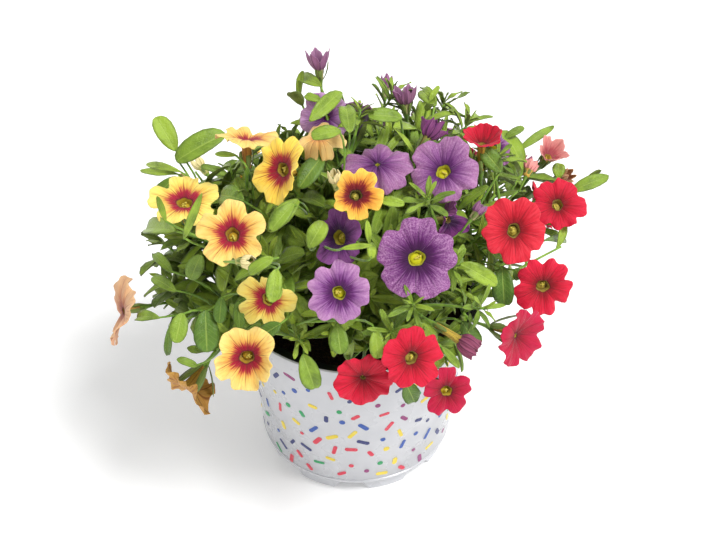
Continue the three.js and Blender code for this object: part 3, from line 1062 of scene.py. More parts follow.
@dataclass
class Seat:
    """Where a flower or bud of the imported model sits, in millimetres."""

    mouth: Vector  # middle of its throat, where the tube opens
    heading: Vector  # the way it faces
    tail: Vector  # end of its stalk
    radius: float

    @classmethod
    def of(cls, node: Object) -> "Seat":
        """Finds the place and the axis of a flower's node.

        Args:
            node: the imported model's flower or bud.

        Returns:
            Its seat.
        """
        points = np.unique(np.array([v.co for v in node.data.vertices]) / MM, axis=0)
        centre = points.mean(0)
        # the spread across a round flower's axis is the same both ways, so the axis is the odd one
        spread, axes = np.linalg.eigh(np.cov((points - centre).T))
        lone = 0 if spread[2] - spread[1] < spread[1] - spread[0] else 2
        axis = axes[:, lone]
        along = (points - centre) @ axis
        across = np.linalg.norm(points - centre - np.outer(along, axis), axis=1)
        if along[across.argmax()] < 0:
            axis, along = -axis, -along
        tail = Vector(centre + axis * along.min())
        heading = Vector(axis).normalized()
        return cls(tail + heading * FLOWER_LENGTH, heading, tail, float(across.max()))

    def frame(self, roll: float) -> Matrix:
        """The frame at the mouth: Z out of the flower, and X on its first lobe.

        Args:
            roll: degrees clockwise, as its viewer sees it, from the top to the first lobe.

        Returns:
            The frame.
        """
        rise = UP - self.heading * UP.dot(self.heading)
        if rise.length < 0.4:
            rise = Vector((0, 1, 0)) - self.heading * self.heading.y
        rise.normalize()
        right = rise.cross(self.heading)
        turn = Matrix((right, rise, self.heading)).transposed().to_4x4()
        return Matrix.Translation(self.mouth) @ turn @ Matrix.Rotation(math.radians(90 - roll), 4, "Z")


@dataclass(frozen=True)
class Bloom:
    """The form of one flower: five lobes that are joined into a trumpet.

    lifts are how far each lobe is bent forward from the flat, in degrees, clockwise from the
    first lobe, which stands roll degrees clockwise from the top.
    """

    tone: Tone
    roll: float = 0.0
    lifts: tuple[float, float, float, float, float] = (0.0, 0.0, 0.0, 0.0, 0.0)
    notch: float = 0.2  # how deep the rim is cut between lobes
    dimple: float = 0.005  # how deep it is cut in the middle of a lobe
    ruffle: float = 0.035  # height of the waves towards the rim
    pinch: float = 0.9  # depth of the creases between lobes, in millimetres
    narrow: float = 0.0  # how much a lobe tapers to a point
    gape: float = 1.0  # how wide its throat is open
    tube: float = 16.5  # length of its tube, in millimetres
    sepal: float = 10.0  # length of its sepals, in millimetres
    raised: float = 0.0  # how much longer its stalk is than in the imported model
    reach: float = 1.0  # how far its lobes reach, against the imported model's radius


@dataclass
class Corolla:
    """A trumpet of petals with its tube, its green calyx and its anthers."""

    name: str
    bloom: Bloom
    seat: Seat
    # shares of the flat disc's radius: close together in the throat and at the rim
    rings: tuple[float, ...] = (0.02, 0.045, 0.08, 0.12, 0.16, 0.19, 0.21, 0.235, 0.27, 0.33, 0.4,
                                0.48, 0.56, 0.64, 0.72, 0.8, 0.87, 0.93, 0.97, 1.0)
    steps: int = 90
    thickness: float = 0.3
    neck: float = 1.9  # radius of the tube above its end
    dish: float = 0.04  # how much the lobes cup, against the radius
    roll_back: float = 0.09  # how far their rim rolls back again
    lobe_spread: int = 8  # how sharply one lobe gives way to the next
    packed: bool = True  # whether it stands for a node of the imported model

    def __post_init__(self) -> None:
        """Draws the small differences that make each flower its own."""
        self.rng = random.Random(self.name)
        self.sizes = [self.rng.uniform(0.93, 1.05) for _ in range(LOBES)]
        self.phases = [self.rng.uniform(0, math.tau) for _ in range(4)]
        self.throat = max(self.neck, 0.3 + 0.18 * self.seat.radius) * self.bloom.gape
        self.sunk = Matrix.Translation((0, 0, self.bloom.tube - LONGEST_TUBE + self.bloom.raised))

    def build(self, petals: tuple[Material, Material], greens: Sequence[Material]) -> None:
        """Makes the petals, and the calyx with its stalk and anthers.

        Args:
            petals: the materials of the petals' faces and backs.
            greens: the materials of leaf faces, leaf backs, stems and anthers.
        """
        bm = turned([(0.0, 0.0)] + [(share, 0.0) for share in self.rings], self.steps)
        if bm.faces[:][0].normal.z < 0:
            bmesh.ops.reverse_faces(bm, faces=bm.faces)
        disc = bm.verts.layers.float_vector.new(PETAL_LAYER)
        place = self.seat.frame(self.bloom.roll) @ self.sunk
        for vert in bm.verts:
            flat = Vector((vert.co.x, vert.co.y, 0))
            vert[disc] = flat
            vert.co = place @ self.surface(flat.length, math.atan2(flat.y, flat.x))
        nodes = [self.name] if self.packed else []
        petal = piece(bm, self.name + "_corolla", petals, nodes)
        wall = petal.modifiers.new("petal_thickness", "SOLIDIFY")
        wall.thickness = self.thickness * MM
        wall.offset = -1
        wall.material_offset = 1
        wall.material_offset_rim = 0
        self._calyx(place, [*greens, petals[0]])

    def surface(self, share: float, angle: float) -> Vector:
        """A point of the petals in the frame of the mouth.

        Args:
            share: its share of the flat disc's radius; the tube is inside THROAT.
            angle: its direction, in radians anticlockwise from the first lobe.

        Returns:
            The point.
        """
        bloom, across = self.bloom, self.seat.radius * self.bloom.reach
        mouth_drop = 0.11 * across + 0.4
        first, second, third, fourth = self.phases
        opening = self.throat * (1 + 0.05 * math.cos(5 * angle) + 0.1 * math.sin(2 * angle + first))
        if share <= THROAT:
            rise = share / THROAT
            neck = min(self.neck, 0.7 * self.throat) * min(1.0, rise / 0.1) ** 0.5
            radius = neck + (opening - neck) * rise**2
            return polar(radius, angle, -mouth_drop - (bloom.tube - mouth_drop) * (1 - rise) ** 1.1)
        out = min(1.0, (share - THROAT) / (1 - THROAT))
        between, middle = abs(math.sin(LOBES / 2 * angle)), abs(math.cos(LOBES / 2 * angle))
        # how much of each lobe there is at this angle gives its size and its lift
        shares = [((1 + math.cos(angle + math.tau * k / LOBES)) / 2) ** self.lobe_spread
                  for k in range(LOBES)]
        total = sum(shares)
        size = sum(w * s for w, s in zip(shares, self.sizes)) / total
        lift = math.radians(sum(w * s for w, s in zip(shares, bloom.lifts)) / total)
        # the rim's outline, cut between the lobes, with small uneven bulges
        rim = 1 - bloom.notch * between**12 - bloom.dimple * middle**18 - bloom.narrow * between**1.5
        rim += 0.018 * math.sin(9 * angle + first) + 0.014 * math.sin(16 * angle + third)
        rim *= size
        reach = out * (across * rim - opening)
        # waves, finer and higher towards the rim, on a cup that rolls back
        wave = math.sin(3 * angle + first) + 0.8 * math.sin(7 * angle + second)
        wave += (0.6 * math.sin(12 * angle + third) + 0.5 * math.sin(19 * angle + fourth)) * out**2
        z = across * bloom.ruffle * out**1.8 * wave
        z += across * self.dish * out**2 - across * self.roll_back * out**5
        # creases between the lobes, shallower ones along their middles, and a slight warp
        crease = between**12 * math.sin(math.pi * min(1.0, out * 0.8 + 0.1))
        z -= bloom.pinch * (crease + 0.45 * middle**20 * math.sin(math.pi * out))
        z += 0.8 * math.sin(2 * angle + fourth) * out
        # the lobe leaves the throat steeply and is bent forward by its lift
        drop = mouth_drop * (1 - (1 - out) ** 2.6)
        bent = lift * out**0.45
        reach, z = (
            reach * math.cos(bent) - z * math.sin(bent),
            reach * math.sin(bent) + z * math.cos(bent),
        )
        return polar(opening + reach, angle, z + drop - mouth_drop)

    def _calyx(self, place: Matrix, materials: Sequence[Material]) -> None:
        """Makes the stalk, the cup with its five sepals, and what closes the throat.

        Args:
            place: the frame of the mouth.
            materials: those of leaf faces, leaf backs, stems, anthers and petals.
        """
        bm = bmesh.new()
        bm.verts.layers.float_vector.new(BLADE_LAYER)
        base = -self.bloom.tube - 1.5
        size = min(1.0, 0.45 + 0.06 * self.seat.radius)
        # the stalk and the cup: height and radius
        section = ((base - 7 - self.bloom.raised, 0.8), (base - 3, 0.8), (base - 0.6, 1.1),
                   (base + 2.6, 2.0), (base + 4, 1.9))
        path = [place @ Vector((0, 0, z)) for z, _ in section]
        sweep(bm, path, [radius * size for _, radius in section], 8, Slot.STEM)
        blade, long = slab(2, 5, rounded=True), self.bloom.sepal * size
        for k in range(LOBES):
            outward = polar(1, math.tau * (k + 0.5) / LOBES)
            spread = math.radians(self.rng.uniform(18, 42) + 3 * (self.bloom.sepal - 10))
            heading = outward * math.sin(spread) + UP * math.cos(spread)
            root = place @ (outward * 1.5 * size + Vector((0, 0, base + 1.5)))
            sepal = Leaf(root, place.to_3x3() @ heading, place.to_3x3() @ -outward,
                         self.rng.uniform(0.8, 1.2) * long, 0.28 * long,
                         bend=-7 / self.bloom.sepal, fold=0.25, fresh=0.45)
            sepal.add(bm, blade)
        self._anthers(bm, place)
        piece(bm, self.name + "_calyx", materials)

    def _anthers(self, bm: BMesh, place: Matrix) -> None:
        """Adds the anthers, crowded to one side of the throat, and the plug under them.

        Args:
            bm: the calyx.
            place: the frame of the mouth.
        """
        depth = -0.11 * self.seat.radius - 3.2
        lean = self.rng.uniform(0, math.tau)
        middle = polar(1, lean) * 0.22 * self.throat
        for k in range(LOBES):
            angle = lean + GOLDEN_ANGLE * k + self.rng.uniform(-0.4, 0.4)
            off = self.throat * self.rng.uniform(0.06, 0.36)
            spot = middle + polar(off, angle, depth + self.rng.uniform(0.4, 1.6))
            size = self.throat * self.rng.uniform(0.08, 0.13) + 0.1
            turn = Matrix.Rotation(angle, 4, "Z")
            stretch = Matrix.Diagonal((1.6 * size, size, size, 1))
            self._ball(bm, place @ Matrix.Translation(spot) @ turn @ stretch, Slot.ANTHER)
        plug = place @ Matrix.LocRotScale(Vector((0, 0, depth - 0.6)), None, (0.82, 0.82, 0.3))
        self._ball(bm, plug @ Matrix.Scale(self.throat, 4), Slot.PETAL)

    @staticmethod
    def _ball(bm: BMesh, shape: Matrix, slot: int) -> None:
        """Adds a ball.

        Args:
            bm: the mesh that gets it.
            shape: what squashes and places a ball of radius 1.
            slot: its material slot.
        """
        made = bmesh.ops.create_icosphere(bm, subdivisions=2, radius=1.0, matrix=shape)
        for vert in made["verts"]:
            for face in vert.link_faces:
                face.material_index = slot


# ---------------- leaves and shoots


@dataclass
class Leaf:
    """One leaf blade, from its base along a direction, arched and folded along its midrib."""

    base: Vector
    direction: Vector
    face: Vector  # roughly where its upper side looks
    length: float
    width: float
    bend: float = 0.6  # radians that it arches back along its length
    fold: float = 0.3  # radians that each half is raised
    twist: float = 0.0  # radians that it turns about its midrib
    wave: float = 0.0  # how far its edges wave, in millimetres
    widest: float = 0.6  # share of its length where it is widest
    full: float = 1.1  # how fast the outline narrows away from its widest place
    fresh: float = 0.5  # 1 for a young leaf, 0 for a mature one
    thickness: float = 0.28
    narrowest: float = 0.09  # against its width, so that base and tip stay open

    def __post_init__(self) -> None:
        """Works out the leaf's frame."""
        along = self.direction.normalized()
        up = self.face - along * self.face.dot(along)
        if up.length < 1e-3:
            up = along.orthogonal()
        up.normalize()
        turn = Matrix((along.cross(up), along, up)).transposed().to_4x4()
        self.frame = Matrix.Translation(self.base) @ turn

    def half_width(self, along: float) -> float:
        """Half the blade's width at a share of its length.

        Args:
            along: 0 at its base and 1 at its tip.

        Returns:
            The half width.
        """
        clear = min(max(along, 1e-6), 1 - 1e-6)
        rise = (clear / self.widest) ** self.widest
        fall = ((1 - clear) / (1 - self.widest)) ** (1 - self.widest)
        return self.width / 2 * max(self.narrowest, (rise * fall) ** self.full)

    def place(self, flat: Vector) -> Vector:
        """Takes a point of the flat sheet to the leaf.

        Args:
            flat: the sheet's point.

        Returns:
            The leaf's.
        """
        phase = self.bend * flat.y
        if abs(self.bend) < 1e-3:
            middle = Vector((0, self.length * flat.y, 0))
        else:
            radius = self.length / self.bend
            middle = Vector((0, radius * math.sin(phase), -radius * (1 - math.cos(phase))))
        normal = Vector((0, math.sin(phase), math.cos(phase)))
        half = self.half_width(flat.y)
        turn = self.twist * flat.y
        rise = abs(flat.x) * half * math.sin(self.fold)
        rise += self.wave * math.sin(3.2 * math.pi * flat.y) * flat.x * abs(flat.x)
        reach = flat.x * half * math.cos(self.fold)
        lateral = Vector((math.cos(turn), 0, 0)) + normal * math.sin(turn)
        upright = normal * math.cos(turn) - Vector((math.sin(turn), 0, 0))
        depth = rise + flat.z * self.thickness
        return self.frame @ (middle + lateral * reach + upright * depth)

    def add(self, bm: BMesh, template: Mesh) -> None:
        """Adds the leaf to a mesh."""
        stamp(bm, template, self.place, (Slot.LEAF_FACE, Slot.LEAF_BACK), self.fresh)

    def probes(self) -> list[Vector]:
        """Points that show where the leaf is: along its midrib and on its edges."""
        spots = ((0, 0.3), (0, 0.65), (0, 1), (-1, 0.45), (1, 0.45), (-1, 0.8), (1, 0.8))
        return [self.place(Vector((across, along, 0))) for across, along in spots]


@dataclass
class Clearance:
    """Keeps leaves out of the flowers, the pot and the sight of open flowers."""

    seats: Sequence[Seat]
    pot: Pot
    eye: Vector
    ahead: float = 26.0  # how far in front of a flower leaves stay away
    behind: float = -2.5  # where a flower's disc ends and its trumpet begins
    small: float = 9.0  # flowers with a smaller radius may be hidden
    hidden_by: float = 60.0  # leaves further in front of a flower hide it no more
    bare_rise: float = 18.0  # the bare stretches of the lip: how high above it,
    bare_radius: float = 50.0  # how far out,
    bare_front: tuple[float, float] = (-50.0, 22.0)  # from where to where in front,
    bare_right: tuple[float, float] = (44.0, 50.0)  # and from where, and how deep, at the right

    def blocks(self, leaf: Leaf) -> bool:
        """Whether a leaf is in the way."""
        return any(self._in_pot(point) or self._past_outline(point) or self._in_flower(point)
                   for point in leaf.probes())

    def _past_outline(self, point: Vector) -> bool:
        """Whether a point lies outside the planting's outline, as seen from above its front.

        Args:
            point: the point.

        Returns:
            True outside.
        """
        height = (point.z - self.pot.height) * OUTLINE_RISE + point.y * OUTLINE_RUN
        right = min(max(point.x, OUTLINE[0][0]), OUTLINE[-1][0])
        for (x0, low0, high0), (x1, low1, high1) in zip(OUTLINE, OUTLINE[1:]):
            if x0 <= right <= x1:
                share = (right - x0) / (x1 - x0)
                low = low0 + share * (low1 - low0)
                high = high0 + share * (high1 - high0)
                return not low < height < high
        return True

    def _in_pot(self, point: Vector) -> bool:
        """Whether a point lies in the pot or over the two bare stretches of its lip.

        Args:
            point: the point.

        Returns:
            True in either.
        """
        pot, radius = self.pot, math.hypot(point.x, point.y)
        in_front = self.bare_front[0] < point.x < self.bare_front[1] and point.y < 0
        at_right = point.x > self.bare_right[0] and abs(point.y) < self.bare_right[1]
        low = point.z < pot.height + self.bare_rise
        if low and radius > self.bare_radius and (in_front or at_right):
            return True
        if point.z < pot.height - 8:
            return radius < pot.wall_radius(point.z) + 1.5
        return point.z < pot.height + 1 and pot.mouth_radius - 3 < radius < pot.lip_radius + 1

    def _in_flower(self, point: Vector) -> bool:
        """Whether a point lies in or before any flower."""
        return any(self._in_way(point, seat) for seat in self.seats)

    def _in_way(self, point: Vector, seat: Seat) -> bool:
        """Whether a point lies in a flower or in front of it, along its axis or its view.

        Args:
            point: the point.
            seat: the flower's.

        Returns:
            True in either.
        """
        offset = point - seat.mouth
        height = offset.dot(seat.heading)
        side = (offset - seat.heading * height).length
        if self.behind < height < self.ahead and side < seat.radius * (0.98 - 0.006 * height) + 0.6:
            return True
        trumpet = 3.6 + seat.radius * max(0.0, 0.35 + 0.05 * height)
        if -FLOWER_LENGTH < height <= self.behind and side < trumpet:
            return True
        view = self.eye - seat.mouth
        facing = view.dot(seat.heading)
        if facing < 0.2 * view.length or seat.radius < self.small:
            return False
        sight = self.eye - point
        reach = sight.dot(seat.heading)
        if height <= 0 or reach <= 0:
            return False
        crossing = point - sight * (height / reach)
        return (crossing - seat.mouth).length < 0.86 * seat.radius and height < self.hidden_by


# Outline of the leafy mass, square to the view, from the middle of the rim, in millimetres:
# place to the right, lowest and highest leaf.
OUTLINE = (
    (-114, 22, 35),
    (-106, -9, 33),
    (-99, -32, 35),
    (-91, -32, 59),
    (-81, -35, 63),
    (-68, -37, 66),
    (-55, -41, 70),
    (-45, -53, 73),
    (-34, -53, 94),
    (-29, -43, 104),
    (-19, -54, 107),
    (-6, -48, 104),
    (7, -45, 104),
    (22, -60, 95),
    (38, -45, 101),
    (53, -44, 97),
    (58, -32, 95),
    (61, -9, 94),
    (74, -9, 83),
    (84, -4, 79),
    (97, 18, 71),
    (107, 22, 64),
    (115, 22, 63),
    (126, 48, 59),
)
OUTLINE_RISE = math.cos(VIEW_PITCH)
OUTLINE_RUN = math.sin(VIEW_PITCH)


class Plant(Enum):
    """The three plants, with the place of each one's crown in the compost."""

    YELLOW = (-26.0, -4.0)
    PURPLE = (2.0, 22.0)
    RED = (27.0, -6.0)


@dataclass(frozen=True)
class ShootPlan:
    """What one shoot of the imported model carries."""

    plant: Plant
    blooms: tuple[str, ...]
    tips: tuple[tuple[float, float, float], ...] = ()  # ends of its leafy branches
    root_turn: float = 0.0  # degrees that its root is turned round the crown


@dataclass
class Branch:
    """A stem from one point to another, with the way it heads at its end."""

    points: list[Vector]
    heading: Vector

    @classmethod
    def between(cls, start: Vector, leave: Vector, end: Vector, heading: Vector,
                count: int = 12) -> "Branch":
        """Bends a stem smoothly.

        Args:
            start: where it leaves.
            leave: how far and which way it sets out.
            end: where it ends.
            heading: the way it arrives.
            count: its points.

        Returns:
            The stem.
        """
        span = (end - start).length
        arrive = end - heading.normalized() * 0.35 * span
        points = geometry.interpolate_bezier(start, start + leave, arrive, end, count)
        return cls(list(points), heading.normalized())

    def index_near(self, place: Vector) -> int:
        """Index of the stem's point that is nearest to a place."""
        return min(range(len(self.points)), key=lambda i: (self.points[i] - place).length)


@dataclass
class Sprig:
    """The leafy end of a stem: leaves set round it, the lower ones wide, the upper ones narrow."""

    branch: Branch
    leaves: int = 9
    length: float = 24.0
    start: float = 0.35  # share of the stem where its leaves begin
    fresh: float = 0.55  # how young its middle leaves are
    slim: float = 1.0  # width of its leaves, against the usual

    def grow(self, rng: random.Random) -> list[Leaf]:
        """Sets the leaves.

        Args:
            rng: the shoot's own draw.

        Returns:
            The leaves from the lowest to the tip.
        """
        points = self.branch.points
        turn = rng.uniform(0, math.tau)
        grown = []
        for i in range(self.leaves):
            rise = i / max(1, self.leaves - 1)
            share = self.start + (1 - self.start) * rise**0.8
            at = share * (len(points) - 1)
            low = min(int(at), len(points) - 2)
            base = points[low].lerp(points[low + 1], at - low)
            stem = (points[low + 1] - points[low]).normalized()
            side = stem.orthogonal().normalized()
            side.rotate(Matrix.Rotation(turn + i * GOLDEN_ANGLE, 3, stem))
            # the lowest leaves stand out, and those at the tip point along the stem
            open_by = math.radians(76 - 50 * rise**1.4 + rng.uniform(-9, 9))
            direction = stem * math.cos(open_by) + side * math.sin(open_by) + UP * 0.12
            size = self.length * (0.82 + 0.25 * math.sin(math.pi * rise) - 0.42 * rise**2)
            size *= rng.uniform(0.86, 1.14)
            face = stem * 0.8 - side * 0.35 + UP * 0.45
            grown.append(Leaf(
                base, direction, face, size,
                size * self.slim * (0.52 - 0.2 * rise + rng.uniform(-0.05, 0.05)),
                bend=rng.uniform(0.3, 1.2) * (1 - 0.5 * rise),
                fold=rng.uniform(0.2, 0.65), twist=rng.uniform(-0.45, 0.45),
                wave=rng.uniform(-0.7, 0.7), widest=rng.uniform(0.5, 0.64),
                full=rng.uniform(0.95, 1.3) * (1 + 0.3 * rise),
                fresh=min(1.0, max(0.0, self.fresh - 0.25 + 0.5 * rise + rng.uniform(-0.22, 0.22))),
            ))
        return grown


@dataclass
class Shoot:
    """One shoot: its stem, a branch to each flower, and its leaves."""

    name: str
    plan: ShootPlan
    seats: dict[str, Seat]
    compost: Compost
    crown_radius: float = 8.0  # how far from its plant's middle it stands
    sunk: float = 1.5  # how deep its root starts in the compost
    stem_radius: float = 1.5
    branch_radius: float = 0.9
    shortest: float = 26.0  # a side shoot starts at least about this far from its tip,
    lower: float = 8.0  # this much lower,
    deeper: float = 12.0  # and this much nearer to the planting's middle

    def __post_init__(self) -> None:
        """Draws the shoot's stem and branches."""
        self.rng = random.Random(self.name)
        self.leaves: list[Leaf] = []
        self.kept: list[Leaf] = []
        self.stems: list[tuple[Branch, float, float]] = []
        self.sprigs: list[tuple[Branch, list[Leaf], bool]] = []
        ends = [self.seats[name] for name in self.plan.blooms]
        middle = sum((end.tail for end in ends), Vector()) / len(ends)
        crown = Vector((*self.plan.plant.value, 0))
        turn = math.atan2(middle.y - crown.y, middle.x - crown.x) + math.radians(self.plan.root_turn)
        root = crown + polar(1, turn) * self.crown_radius
        root.z = self.compost.height(math.hypot(root.x, root.y)) - self.sunk
        self.root = root
        self.fork = root.lerp(middle, 0.42) + UP * 5
        stem = Branch.between(root, UP * 0.45 * (self.fork.z - root.z), self.fork, self.fork - root)
        self.stems.append((stem, self.stem_radius, self.branch_radius * 1.25))
        for end in ends:
            branch = self._branch(end.tail + end.heading * 1.0, end.heading)
            self.stems.append((branch, self.branch_radius * 1.15, 0.75))
        for tip in self.plan.tips:
            point = Vector(tip)
            outward = (point - self.fork).normalized()
            branch = self._branch(point - outward * 9, outward)
            leaves = Sprig(branch, leaves=10, start=0.45, fresh=0.7).grow(self.rng)
            self.sprigs.append((branch, leaves, False))
        for branch, _, _ in self.stems[1 : 1 + len(ends)]:
            self.leaves += Sprig(branch, leaves=6, start=0.3, length=20, fresh=0.5).grow(self.rng)[:-1]

    def _branch(self, end: Vector, heading: Vector) -> Branch:
        """Draws a branch from the fork."""
        span = (end - self.fork).length
        return Branch.between(self.fork, (end - self.root).normalized() * 0.3 * span, end, heading)

    def nearest(self, tip: Vector) -> tuple[float, Vector]:
        """Finds the point of this shoot that a side shoot leaves best.

        Args:
            tip: where the side shoot ends.

        Returns:
            How far off the point is, with a penalty for each rule that it breaks, and the point.
        """
        best = (math.inf, self.fork)
        depth = (tip - HEART).length
        for branch, _, _ in self.stems:
            for point in branch.points[2:-2]:
                gap = (tip - point).length
                cost = gap + 2.0 * max(0.0, self.shortest - gap)
                cost += 1.5 * max(0.0, point.z - tip.z + self.lower)
                cost += 1.5 * max(0.0, (point - HEART).length + self.deeper - depth)
                if cost < best[0]:
                    best = (cost, point)
        return best

    def side_shoot(self, tip: Vector, outward: Vector, sprig: dict, kept: bool = False) -> None:
        """Adds a leafy side shoot.

        Args:
            tip: where its stem ends.
            outward: the way it heads there.
            sprig: the leaves' own values.
            kept: whether its leaves may stand in front of a flower.
        """
        start = self.nearest(tip)[1]
        span = (tip - start).length
        leave = (tip - start).normalized() * 0.15 * span + UP * 0.2 * span
        branch = Branch.between(start, leave, tip, outward, 9)
        self.sprigs.append((branch, Sprig(branch, **sprig).grow(self.rng), kept))

    def lone_leaf(self, base: Vector, tip: Vector, width: float, fresh: float, eye: Vector) -> None:
        """Adds one leaf on a thin stem of its own, its upper side towards the viewer.

        Args:
            base: where the blade begins.
            tip: where it ends.
            width: how wide it is.
            fresh: how young it is.
            eye: where the viewer is.
        """
        direction = (tip - base).normalized()
        self.lone_stem(base + direction, direction)
        length = (tip - base).length * 1.06
        pointed = 0.35 if width < 0.3 * length else 0.1
        self.kept.append(Leaf(
            base, direction, (eye - base).normalized() + UP * 0.4, length, width * 1.15,
            bend=self.rng.uniform(0.2, 0.9), fold=self.rng.uniform(0.15, 0.55),
            twist=self.rng.uniform(-0.4, 0.4), wave=self.rng.uniform(-0.8, 0.8),
            widest=self.rng.uniform(0.5, 0.62), full=self.rng.uniform(0.9, 1.1) + pointed, fresh=fresh,
        ))

    def lone_stem(self, end: Vector, direction: Vector) -> None:
        """Adds a thin stem that reaches a point from inside the planting.

        Args:
            end: where it ends.
            direction: the way it heads there.
        """
        inward = (HEART - end).normalized()
        start = self.nearest(end + inward * 22)[1]
        leave = (end + inward * 12 - start) * 0.4
        stem = Branch.between(start, leave, end, direction * 0.4 - inward, 8)
        self.stems.append((stem, 0.7, 0.5))

    def build(self, blade: Mesh, clearance: Clearance, greens: Sequence[Material]) -> None:
        """Makes the shoot as one piece.

        Args:
            blade: the flat leaf.
            clearance: what leaves keep clear of.
            greens: the materials of leaf faces, leaf backs, stems and anthers.
        """
        bm = bmesh.new()
        bm.verts.layers.float_vector.new(BLADE_LAYER)
        for branch, leaves, always in self.sprigs:
            clear = [leaf for leaf in leaves if always or not clearance.blocks(leaf)]
            if len(clear) < 2:
                continue
            # the stem ends just past its last leaf
            top = max(branch.index_near(leaf.base) for leaf in clear)
            self.stems.append((Branch(branch.points[: max(3, top + 2)], branch.heading), 0.9, 0.55))
            self.kept += clear
        for branch, thick, thin in self.stems:
            count = len(branch.points)
            radii = [thick + (thin - thick) * i / (count - 1) for i in range(count)]
            sweep(bm, branch.points, radii, 6, Slot.STEM)
        bmesh.ops.recalc_face_normals(bm, faces=bm.faces)
        kept = self.kept + [leaf for leaf in self.leaves if not clearance.blocks(leaf)]
        for leaf in kept:
            leaf.add(bm, blade)
        log.info("%s: %d leaves", self.name, len(kept))
        piece(bm, self.name + "_foliage", greens[: Slot.ANTHER], [self.name])


@dataclass
class Mound:
    """The rounded mass of leafy side shoots that fills the planting between the flowers."""

    shoots: Sequence[Shoot]
    centre_z: float = 104.0
    right: float = 86.0
    left: float = 104.0
    front: float = 80.0
    back: float = 82.0
    top: float = 92.0
    lean: float = 16.0  # how much higher and deeper it is at the right than in the middle
    highest: float = 0.985  # sine of the angle where a shell ends

    def point(self, turn: float, lift: float, depth: float) -> Vector:
        """A point on or in the mound.

        Args:
            turn: its direction round the axis, from +X.
            lift: its angle above the rim.
            depth: 1 on the surface, less inside.

        Returns:
            The point.
        """
        x = math.cos(turn) * math.cos(lift)
        y = math.sin(turn) * math.cos(lift)
        half_x = self.right if x > 0 else self.left
        half_y = self.back + self.lean * x if y > 0 else self.front
        height = (self.top + self.lean * x) * math.sin(lift)
        return Vector((x * half_x * depth, y * half_y * depth, self.centre_z + height * depth))

    def fill(self, count: int, depth: float, low: float, seed: str, sprig: dict) -> None:
        """Spreads side shoots evenly over a shell of the mound.

        Args:
            count: how many.
            depth: the shell, 1 at the surface.
            low: sine of the lowest angle above the rim.
            seed: the name of the draw.
            sprig: the leaves' own values.
        """
        rng = random.Random(seed)
        for i in range(count):
            lift = math.asin(low + (self.highest - low) * (i + 0.5) / count)
            turn = i * GOLDEN_ANGLE + rng.uniform(-0.12, 0.12)
            tip = self.point(turn, lift, depth * rng.uniform(0.9, 1.03))
            outward = (tip - Vector((0, 0, self.centre_z - 20))).normalized() + UP * 0.25
            # leaves are broader at the left and narrower at the right; in the middle they get more of the
            # paler young colour, painted light on leaves that lie in shade there
            slim = 0.72 + 0.26 * min(1.0, max(-1.0, -tip.x / 50))
            fresh = sprig["fresh"] + 0.14 * max(0.0, 1 - abs(tip.x) / 70)
            self.add(tip, outward, {"slim": slim} | sprig | {"fresh": fresh})

    def add(self, tip: Vector, outward: Vector, sprig: dict, kept: bool = False) -> None:
        """Gives a side shoot to the shoot that is nearest.

        Args:
            tip: where its stem ends.
            outward: the way it heads there.
            sprig: the leaves' own values.
            kept: whether its leaves may stand in front of a flower.
        """
        self.owner(tip).side_shoot(tip, outward.normalized(), sprig, kept)

    def owner(self, tip: Vector) -> Shoot:
        """The shoot that is nearest to a tip."""
        return min(self.shoots, key=lambda shoot: shoot.nearest(tip)[0])


# ---------------- the planting


def flowers(colour: str, first: int, last: int) -> tuple[str, ...]:
    """Names of a plant's flowers from one number to another."""
    return tuple(f"{colour}_flower_{number}" for number in range(first, last + 1))


SHOOTS = {
    "yellow_shoot_1": ShootPlan(Plant.YELLOW, flowers("yellow", 1, 2), ((-99, 28, 189), (-70, 30, 184))),
    "yellow_shoot_2": ShootPlan(Plant.YELLOW, flowers("yellow", 3, 6)),
    "yellow_shoot_3": ShootPlan(Plant.YELLOW, flowers("yellow", 7, 8)),
    "yellow_shoot_4": ShootPlan(Plant.YELLOW, flowers("yellow", 9, 10), ((-108, 6, 138),)),
    "yellow_shoot_5": ShootPlan(Plant.YELLOW, flowers("yellow", 11, 13), ((-60, 104, 148),)),
    "purple_shoot_1": ShootPlan(Plant.PURPLE, ("purple_bud_1", *flowers("purple", 1, 2)),
                                ((-32, 30, 214),)),
    "purple_shoot_2": ShootPlan(Plant.PURPLE, flowers("purple", 3, 4), root_turn=28),
    "purple_shoot_3": ShootPlan(Plant.PURPLE, flowers("purple", 5, 6), root_turn=-24),
    "purple_shoot_4": ShootPlan(Plant.PURPLE, ("purple_bud_2", *flowers("purple", 7, 8)),
                                ((37, 24, 212),), root_turn=16),
    "purple_shoot_5": ShootPlan(Plant.PURPLE, flowers("purple", 9, 10), ((20, 112, 126),)),
    "purple_shoot_6": ShootPlan(Plant.PURPLE, flowers("purple", 11, 12)),
    "red_shoot_1": ShootPlan(Plant.RED, flowers("red", 1, 2)),
    "red_shoot_2": ShootPlan(Plant.RED, (*flowers("red", 3, 4), "red_bud_1"),
                             ((126, 34, 153), (98, 32, 183))),
    "red_shoot_3": ShootPlan(Plant.RED, flowers("red", 5, 6), ((110, -12, 146),)),
    "red_shoot_4": ShootPlan(Plant.RED, (*flowers("red", 7, 9), "red_bud_2"), ((52, -92, 130),)),
    "red_shoot_5": ShootPlan(Plant.RED, flowers("red", 10, 12), ((100, 76, 140),)),
}

